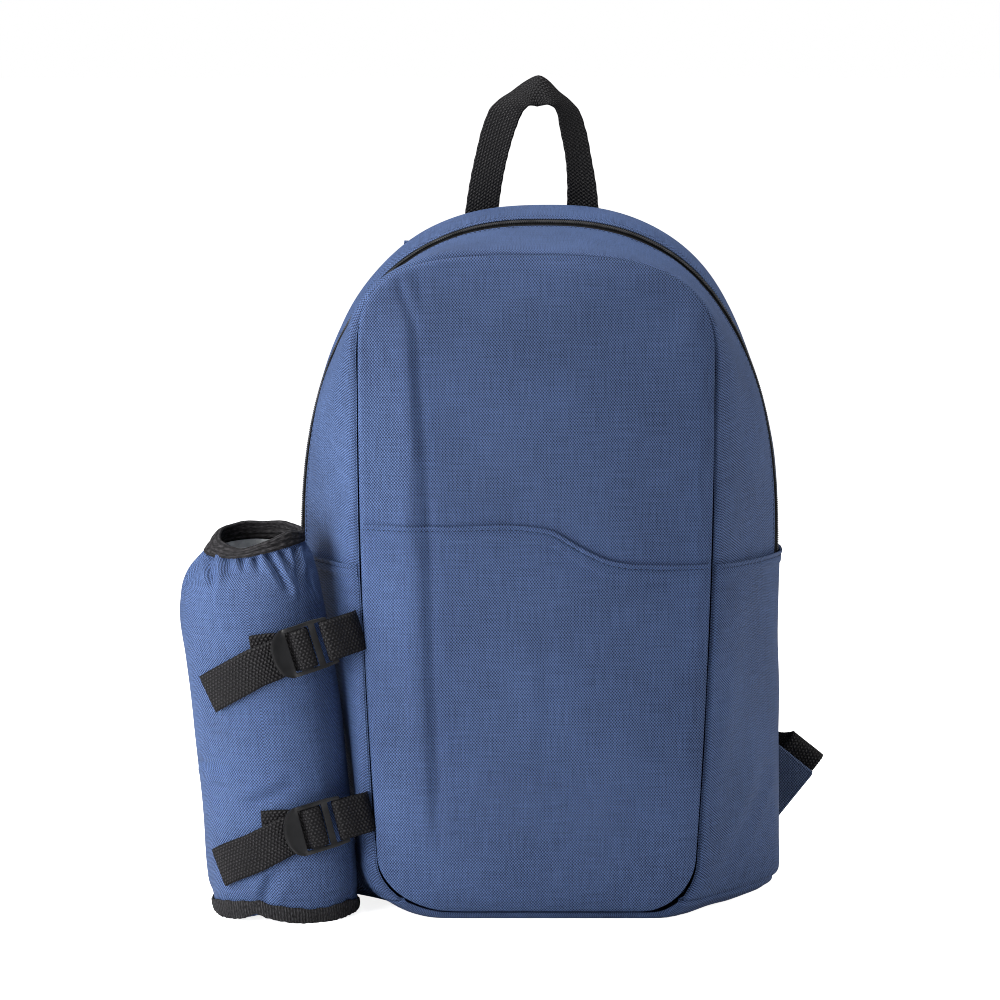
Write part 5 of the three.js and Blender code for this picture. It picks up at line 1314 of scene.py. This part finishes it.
def mouth(ph, h):
    """The rim isn't level: its height off the plain mouth, fading into the sleeve below."""
    up = curve(MOUTH[:, 0], MOUTH[:, 1], (np.degrees(ph) + 180) % 360 - 180)
    z = up * np.where(h > 229.1, lerp(0.33, 1.0, smooth((h - 229.1) / 6)), 0.33 * np.exp(-((np.minimum(0, h - 229.1) / 11) ** 2)))
    return np.stack([0 * z, 0 * z, z], -1)


BACK_GATHERS = [(105, 1.5), (121, 1.2), (134, 1.6), (152, 1.3), (166, 1.5), (183, 1.2), (199, 1.6), (214, 1.3), (231, 1.5), (247, 1.2), (262, 1.4), (276, 1.2), (289, 1.4)]


def sleeve_height(phi, h):
    """Folds on the sleeve, in mm out."""
    P, N = sleeve_point(phi, h)
    deepest = np.interp(h, [0, 205, 215, 224, 231], [-3.4, -3.4, -2.9, -1.9, -1.4])
    out = np.clip(folds(P, N, SLEEVE_FOLDS[:17]) * 2.7, deepest, 3.0) + folds(P, N, SLEEVE_FOLDS[17:]) * 1.5
    deg = np.degrees(phi) % 360
    down = np.maximum(0, SLEEVE_TOP - h)
    for g0, amp in BACK_GATHERS:
        dd = (deg - g0 + 180) % 360 - 180
        out = out - amp * np.exp(-((dd / 3.2) ** 2)) * np.exp(-((down / (17 + 5 * amp)) ** 2)) + 0.55 * amp * np.exp(-(((dd - 7) / 3.4) ** 2)) * np.exp(-((down / 20) ** 2))
    out = out + 0.9 * ripple(P + 900) * smooth(down / 22) * smooth((h - 8) / 14)
    # pressed under the straps and buckles, so that they stay clear of it
    px, py = seen_at(P)
    front_side = smooth((N @ vec(0, -1, 0) - 0.1) / 0.3)
    for line in ([(199, 690, 1), (270, 660, 1), (352, 632, 1)], [(240, 650, 1), (300, 640, 1)], [(212, 866, 1), (285, 836, 1), (362, 812, 1)], [(258, 816, 1), (310, 820, 1)]):
        dl, _ = near_line(px, py, line)
        k = smooth((30 - dl) / 10) * front_side
        out = np.where(out > -0.1, out * (1 - k) - 0.1 * k, out)
    return out


nphi, nhh = int(330 * FINE), int(190 * FINE)
phi = np.linspace(0, 2 * math.pi, nphi, endpoint=False)
hs = stations(0.8, 230.6, nhh, near=((226, 12, 2.5), (2, 4, 1.5)))
PH, HH = np.meshgrid(phi, hs, indexing="ij")
bulge = -0.5 * np.exp(-(((HH - 13) / 2.5) ** 2))
wave_deg = (np.degrees(PH) + 180) % 360 - 180
RAISE = np.array([(-180, 0.6), (-130, 0.8), (-105, 1.4), (-90, 1.6), (-77, 1.5), (-61, 0.4), (-46, 1.0), (-33, 2.5), (-27, 4.4), (-22.5, 5.9), (-18, 5.2), (-12, 3.6), (-6.5, 2.6), (4, 1.2), (14, 0.3), (24, 0.1), (44, 0.1), (60, 0.9), (78, 1.7), (90, 2.2), (110, 1.8), (140, 0.8), (180, 0.6)])
HEM_TOP = np.array([(-180, 9.6), (-120, 9.4), (-90, 9.0), (-77, 9.6), (-60, 11.2), (-36, 13.1), (-22, 14.2), (-16.5, 14.4), (-12, 13.2), (-8, 12.3), (4, 11.0), (24, 8.9), (43, 9.5), (64, 10.6), (76, 9.2), (90, 7.8), (120, 8.8), (180, 9.6)])


def raised(ph):
    """How far the bottom edge of the sleeve is off the floor."""
    dg = (np.degrees(ph) + 180) % 360 - 180
    return curve(RAISE[:, 0], RAISE[:, 1], dg)


def sleeve_cloth(ph, h, lift):
    P, n = sleeve_point(ph, h, lift)
    up = raised(ph) * np.exp(-((h / 16.0) ** 2))
    return P + np.stack([0 * up, 0 * up, up], -1) + mouth(ph, h)


lift = sleeve_height(PH, HH) + bulge
P = sleeve_cloth(PH, HH, lift)
_, NS = sleeve_point(PH, HH)
th = np.interp(HH, [0, 190, 222, 228, 231], [2.2, 2.2, 1.2, 0.9, 0.8])
inner = sleeve_cloth(PH, HH, lift * 0.6 - th - 0.1)
uvs = grid_uv(P, True)
sleeve_ob = shell("bottle_sleeve_cloth", P, 1, loop_i=True, like=NS, inner=inner, material=M_CLOTH, replaces=("bottle_sleeve",), slot="pack_cloth")

# lining
phl = np.linspace(0, 2 * math.pi, int(160 * FINE), endpoint=False)
hl = np.linspace(4.4, 229.0, int(90 * FINE))
PL, HL = np.meshgrid(phl, hl, indexing="ij")
cr = np.zeros(PL.shape)
base, _ = sleeve_point(PL, HL)
rng = np.random.default_rng(5)
for _ in range(26):
    k = rng.normal(size=3) / rng.choice([3.5, 5, 8])
    cr += 0.16 * np.abs(np.sin(base @ k + rng.uniform(0, 6.28)))
pleat = 0.5 * np.sin(PL * 23 + np.sin(PL * 5) * 1.3) * np.exp(-(230.0 - HL) / 16) * smooth((229.8 - HL) / 3)
thin = np.interp(HL, [0, 190, 222, 226, 229, 230], [3.0, 3.0, 1.7, 1.35, 0.9, 0.8])
lin = -thin - np.interp(HL, [0, 222, 227], [0.9, 0.9, 0.75]) - np.clip(cr - 1.4, 0, 1.6) * smooth((HL - 6) / 20) * smooth((224 - HL) / 5) - np.maximum(0, pleat + 0.3) * smooth((225 - HL) / 3)
lin = lin + 0.7 * np.minimum(0, sleeve_height(PL, HL)) * smooth((227 - HL) / 5)
PO, _ = sleeve_point(PL, HL, lin)
PI, NL = sleeve_point(PL, HL, lin - 0.35)
PO, PI = PO + mouth(PL, HL), PI + mouth(PL, HL)
lining = shell("sleeve_lining_foil", PO, 1, loop_i=True, like=NL, inner=PI, material=M_FOIL, replaces=("sleeve_lining",), slot="foil")

# rim: a folded elastic tape, outside and inside the mouth
R_PROFILE = np.array([(0.5, 229.2), (1.1, 229.1), (1.5, 229.6), (1.55, 230.6), (1.3, 231.4), (0.95, 231.8), (1.25, 232.3), (1.5, 233.3), (1.4, 234.6), (1.1, 235.6), (0.45, 236.2), (-0.5, 236.5),
                      (-1.4, 236.4), (-2.1, 236.0), (-2.6, 235.2), (-2.75, 234.2), (-2.45, 233.5), (-2.4, 233.2), (-2.8, 232.6), (-2.95, 231.4), (-2.6, 230.6), (-2.55, 230.3), (-2.95, 229.7), (-3.0, 228.6), (-2.7, 227.9), (-2.2, 227.8), (-1.7, 228.4), (-1.2, 229.6), (-0.4, 229.8)])
pr = np.linspace(0, 2 * math.pi, int(260 * FINE), endpoint=False)
PR, K = np.meshgrid(pr, np.arange(len(R_PROFILE)), indexing="ij")
prof_d = np.concatenate([[0], np.cumsum(np.hypot(*np.diff(R_PROFILE, axis=0).T))])
pucker = 0.22 * np.sin(PR * 31 + 1.2 * np.sin(PR * 4)) + 0.18 * np.sin(PR * 17 + 2)
side_sign = np.where(R_PROFILE[K, 0] > -0.8, 1.0, 0.6)
zoff = 0.5 * np.sin(PR * 3 + 0.6) + 0.35 * np.sin(PR * 7 + 2.0)
DEEP = np.array([(-180, 1.6), (-150, 1.0), (-120, 0.6), (-80, 0), (60, 0), (100, 1.4), (140, 3.0), (165, 2.5), (180, 1.6)])    # the inner band hangs lower at the back
low_in = curve(DEEP[:, 0], DEEP[:, 1], (np.degrees(PR) + 180) % 360 - 180) * np.where(R_PROFILE[K, 0] < -1.0, np.clip((235.5 - R_PROFILE[K, 1]) / 7.5, 0, 1), 0)
P, NR = sleeve_point(PR, R_PROFILE[K, 1] - low_in, R_PROFILE[K, 0] + pucker * side_sign * 0.7 - 0.65 * low_in)
P = P + np.stack([0 * zoff, 0 * zoff, zoff * smooth((R_PROFILE[K, 1] - 229) / 5)], -1) + mouth(PR, R_PROFILE[K, 1])
b = Build()
ids = b.points(P).reshape(PR.shape)
ul = np.concatenate([[0], np.cumsum(np.linalg.norm(np.diff(np.concatenate([P[:, 6], P[:1, 6]]), axis=0), axis=1))])
uvr = np.stack(np.broadcast_arrays(ul[:, None], np.concatenate([prof_d, [prof_d[-1] + 1]])[None]), -1)
b.quads(ids, uvr, loop_i=True, loop_j=True)
rim = b.done("sleeve_rim_elastic", material=M_ELASTIC, replaces=("sleeve_rim",), slot="binding")
fix_normals(rim)
q, n = sleeve_point(pr, np.full(pr.shape, 231.0), 1.2 + pucker[:, 4] * 0.7)
q = q + mouth(pr, np.full(pr.shape, 231.0))
black.line(np.concatenate([q, q[:1]]), np.concatenate([n, n[:1]]), pitch=2.8, length=1.9, width=0.5, height=0.35)

# hem at the foot: a binding folded over the edge, wavy and lifting off the floor
hh = np.array([0.0, 0.012, 0.04, 0.09, 0.17, 0.28, 0.4, 0.52, 0.64, 0.76, 0.86, 0.93, 0.975, 1.0])
ph_ = np.linspace(0, 2 * math.pi, int(420 * FINE), endpoint=False)
PHH, HHH = np.meshgrid(ph_, hh, indexing="ij")
deg_ = (np.degrees(PHH) + 180) % 360 - 180
foot, head = raised(PHH), curve(HEM_TOP[:, 0], HEM_TOP[:, 1], deg_)
rough_edge = 0.2 * np.sin(PHH * 61) + 0.16 * np.sin(PHH * 37 + 1)
Q, NH = sleeve_point(PHH, 0 * PHH)
z_ = foot + (head - foot) * HHH + rough_edge * (1 - HHH) ** 2 * 0.8 + 0.3 * np.sin(PHH * 23 + 2) * HHH
hgt = np.maximum(0.02, z_)
S0, _ = sleeve_point(PHH, hgt)
hem_fold = folds(S0, NH, SLEEVE_FOLDS[-8:]) * 0.8 + 0.35 * np.sin(PHH * 9 + 1) + 0.25 * np.sin(PHH * 21)
swell = 0.55 * np.sin(np.pi * np.clip(HHH, 0, 1)) ** 0.5
outl = 1.15 + swell + hem_fold * 0.5
P, _ = sleeve_point(PHH, 0 * PHH, outl)
I, _ = sleeve_point(PHH, 0 * PHH, 0.35 + 0.5 * np.minimum(hem_fold, 0) + 0.25 * smooth((0.1 - HHH) / 0.1))
lean_in = sleeve_point(PHH, hgt)[0] - sleeve_point(PHH, 0 * PHH)[0]
P = P + lean_in * vec(1, 1, 0)
I = I + lean_in * vec(1, 1, 0)
P[..., 2] = np.maximum(hgt, 0.02)
I[..., 2] = np.maximum(hgt, 0.02)
hem_ob = shell("sleeve_hem_binding", P, 1, loop_i=True, like=NH, inner=I, material=M_RIB, replaces=("sleeve_hem",), slot="binding")
fix_normals(hem_ob)

# the sleeve's bottom
pb = np.linspace(0, 2 * math.pi, int(140 * FINE), endpoint=False)
ring, _ = sleeve_point(pb, np.full(pb.shape, 1.0), -3.4)
cb = ring.mean(0)
b = Build()
top, bot = [], []
for f_, zt, zb in ((1.0, 3.0, 1.3), (0.97, 3.5, 0.9), (0.8, 3.5, 0.9), (0.5, 3.4, 0.8), (0.2, 3.3, 0.8)):
    q = cb + (ring - cb) * f_
    lift_ = raised(pb) * 0.55 * f_
    top.append(np.stack([q[:, 0], q[:, 1], zt + lift_], 1))
    bot.append(np.stack([q[:, 0], q[:, 1], zb + lift_], 1))
top, bot = np.array(top), np.array(bot)
ti, bi = b.points(top).reshape(top.shape[:2]), b.points(bot).reshape(bot.shape[:2])
tc, bc = b.points([cb * vec(1, 1, 0) + vec(0, 0, 3.3)]), b.points([cb * vec(1, 1, 0) + vec(0, 0, 0.8)])
ut, ub = np.concatenate([top, top[:, :1]], 1)[..., :2], np.concatenate([bot, bot[:, :1]], 1)[..., :2]
b.quads(ti, ut, loop_j=True)
b.quads(bi, ub, loop_j=True, flip=True)
b.quads(np.stack([ti[0], bi[0]]), np.stack([ut[0], ub[0]]), loop_j=True, flip=True)
for i in range(len(pb)):
    j = (i + 1) % len(pb)
    b.face((ti[-1, i], ti[-1, j], tc[0]), (ut[-1, i], ut[-1, j], cb[:2]))
    b.face((bi[-1, j], bi[-1, i], bc[0]), (ub[-1, j], ub[-1, i], cb[:2]))
fix_normals(b.done("sleeve_base_cloth", material=M_CLOTH, replaces=("sleeve_base",), slot="pack_cloth"))

# ------------------------------------------------------------------ straps and buckles of the sleeve
def on_sleeve(deg, h, lift):
    P, n = sleeve_point(np.array(math.radians(deg)), np.array(float(h)), np.array(float(lift)))
    return P


for stp in STRAPS:
    tabp = on_sleeve(*stp["tab"], BUCKLE["lift"])
    far = vec(*stp["far"])
    U = unit(far - tabp)
    N = unit(vec(0, -1, 0) + U * U[1])
    W = np.cross(N, U)
    O = tabp + U * 20.0
    local = lambda u, v, n: O + U * u + W * v + N * n
    B = BUCKLE
    h_, inn_ = B["half"], B["inner"]
    vs = np.array([-h_, -inn_, -11.2, -9.2, -7, -4.6, -2.3, 0, 2.3, 4.6, 7, 9.2, 11.2, inn_, h_])
    nv = len(vs) - 1
    a0 = B["slot1"][0]
    us_ = np.array([0.0, 0.07, 0.17, 0.34, 0.6, 0.85, a0, B["slot1"][1], -1.0, B["slot2"][0], B["slot2"][1], B["slot3"][0], B["slot3"][1], 16.6, B["end"]])

    def solid(i, j):
        return not (1 <= j <= nv - 2 and i in (6, 9, 11))

    def bend_tab(x, y, i, j):
        if i < 6:       # the lift tab is a half round
            r = abs(y) / (h_ + 0.3)
            lim = a0 - 11.5 * math.sqrt(max(0.0, 1 - r ** 2.1 * 0.99))
            x = lim + (a0 - lim) * us_[i]
        if i >= 12 and j in (0, nv):
            y = math.copysign(h_ - 0.5 - 0.5 * (i == 14), y)
        return x, y

    def tab_height(x, y):
        f_ = max(0.0, (a0 - x) / 11.5)
        rail = 0.45 if abs(y) > inn_ - 0.1 and x > a0 - 1 else 0.0
        return 1.9 * f_ ** 1.6 + rail * 0.5

    def tab_thick(x, y):
        if x < a0 - 0.05:
            r = abs(y) / (h_ + 0.3)
            lim = a0 - 11.5 * math.sqrt(max(0.0, 1 - r ** 2.1 * 0.99))
            rim_ = math.exp(-(((x - lim) / 0.9) ** 2))
            return 1.35 + 1.1 * rim_ + 0.5 * float(smooth((x - a0 + 2.0) / 2.0))
        if abs(y) > inn_ - 0.1:
            return B["t"] + 0.45
        return B["t"] - 0.5

    slab(f"{stp['name']}_buckle_moulded", solid, us_, vs, tab_height, tab_thick, local, rows=bend_tab, bevel=0.38,
         material=M_PLASTIC, replaces=(f"{stp['name']}_buckle",), slot="plastic")

    top = B["t"] / 2 + 0.42 + WEB_T / 2
    S, Wd = [], []

    def station(p, w=W):
        S.append(p)
        Wd.append(unit(w))

    def phi_at(u, v):
        at_ = local(u, v, 0)
        lo, hi = -60.0, 85.0
        for _ in range(34):
            m_ = (lo + hi) / 2
            if (on_sleeve(m_, at_[2], 0) - at_) @ U < 0:
                lo = m_
            else:
                hi = m_
        return lo, at_[2]

    def laid(deg, h, lift_, t):
        upv = on_sleeve(deg, h + 6, 0) - on_sleeve(deg, h - 6, 0)
        rnd = on_sleeve(deg + 1.2, h, 0) - on_sleeve(deg - 1.2, h, 0)
        bb = np.cross(np.cross(rnd, upv), t)
        station(on_sleeve(deg, h, lift_), -bb if bb @ W < 0 else bb)

    laid(*phi_at(-30.5, 5.6), 1.25, unit(U + W * 0.1 if W[2] < 0 else U - W * 0.1))
    laid(*phi_at(-26, 4.9), 1.25, U)
    for u in (-22, -19.5, -16, -12, -8, -4):
        laid(*phi_at(u, 4.6 * float(smooth((-u - 4) / 22))), 1.25 + 0.5 * float(smooth((u + 9) / 5)), U)
    for u, n in ((0.6, -3.9), (3.0, -3.5), (4.9, -2.3), (5.45, -0.9), (5.1, 0.5), (4.0, 1.6), (2.5, top + 0.02), (-0.4, top + 0.5), (-3.6, top + 0.2), (-5.1, 1.3), (-5.5, 0.0), (-5.9, -1.3), (-7.2, -2.3), (-10.2, -2.6)):
        station(local(u, 0, n))
    for u in (-14, -18):
        laid(*phi_at(u, 0.16 * (u + 10)), 2.95, U)
    tl = stp["tail"]
    for i, (dg, h) in enumerate(tl):
        a_ = on_sleeve(*tl[min(len(tl) - 1, i + 1)], 2.9) - on_sleeve(*tl[max(0, i - 1)], 2.9)
        laid(dg, h, 2.95, a_)
    strap(f"{stp['name']}_sleeve_webbing_soft", S, Wd, WEB - 0.6, WEB_T - 0.12, step=0.8, wave=0.17, fray=1.2, material=M_WEB, replaces=(f"{stp['name']}_sleeve_webbing",), slot="webbing")
    seam_p = vec(*stp["seam"])
    toward = lambda f_, n: lerp(local(B["end"], 0, n), seam_p + N * n * 0.42, f_)
    e1 = B["slot3"][1]
    lp = [toward(1.09, top) - N * 3.6, toward(1.0, top) - N * 0.9, toward(0.9, top), toward(0.5, top), local(B["end"], 0, top + 0.1), local(e1 + 0.6, 0, top + 0.3), local(e1 - 0.7, 0, 1.3), local(e1 - 0.95, 0, 0),
          local(e1 - 0.7, 0, -1.3), local(e1 + 0.6, 0, -top), local(B["end"], 0, -top - 0.1), toward(0.5, -top), toward(0.95, -top)]
    strap(f"{stp['name']}_anchor_webbing_soft", lp, [W] * len(lp), WEB - 0.4, WEB_T - 0.12, step=0.7, wave=0.16, material=M_WEB, replaces=(f"{stp['name']}_anchor_webbing",), slot="webbing")

st.done("stitching", M_THREAD, "pack_cloth")
black.done("rim_stitching", M_BLACK_THREAD, "binding")

# ------------------------------------------------------------------ floor and light
def plain(name, colour, rough=0.9):
    n = Nodes(name)
    f = n.noise(n.place(), 3.0, 2.0)
    seen = n.add("ShaderNodeLightPath")
    n.put(n.bsdf.inputs["Emission Color"], (1, 1, 1, 1))
    n.put(n.bsdf.inputs["Emission Strength"], n.op("MULTIPLY", seen, 0.86))
    return n.finish(n.mix(f, tuple(c * 0.985 for c in colour), colour), rough, Specular_IOR_Level=0.1)


me = bpy.data.meshes.new("floor")
nf = 96
me.from_pydata([(40 * math.cos(2 * math.pi * i / nf), 40 * math.sin(2 * math.pi * i / nf), 0) for i in range(nf)], [], [tuple(range(nf))])
floor = bpy.data.objects.new("floor", me)
me.materials.append(plain("floor", (0.78, 0.78, 0.78)))
bpy.context.scene.collection.objects.link(floor)
floor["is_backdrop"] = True

world = bpy.data.worlds.new("studio")
bpy.context.scene.world = world
world.use_nodes = True
bg = world.node_tree.nodes["Background"]
bg.inputs[0].default_value = (1.0, 1.0, 1.0, 1)
seen = world.node_tree.nodes.new("ShaderNodeLightPath")      # the background is white, and lights the room at half that
level = world.node_tree.nodes.new("ShaderNodeMapRange")
level.inputs["To Min"].default_value, level.inputs["To Max"].default_value = 0.28, 1.0
world.node_tree.links.new(seen.outputs["Is Camera Ray"], level.inputs["Value"])
world.node_tree.links.new(level.outputs[0], bg.inputs[1])


def area(name, at, to, size, watts, colour=(1, 1, 1)):
    l = bpy.data.lights.new(name, "AREA")
    l.shape, l.size, l.size_y, l.energy, l.color = "RECTANGLE", size[0], size[1], watts, colour
    o = bpy.data.objects.new(name, l)
    bpy.context.scene.collection.objects.link(o)
    o.location = at
    o.rotation_euler = (Vector(to) - Vector(at)).to_track_quat("-Z", "Y").to_euler()
    return o


area("key", (-0.43, -0.37, 0.20), (-0.10, 0, 0.24), (0.20, 0.24), 2.7)
area("graze", (-0.9, -0.28, 0.6), (-0.02, 0, 0.25), (0.36, 0.36), 7.6)
area("top", (-0.25, -0.02, 1.3), (-0.02, 0, 0.25), (0.36, 0.36), 14)
area("right", (2.2, -0.1, 0.85), (-0.02, 0, 0.25), (0.8, 0.8), 25)

lo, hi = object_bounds()
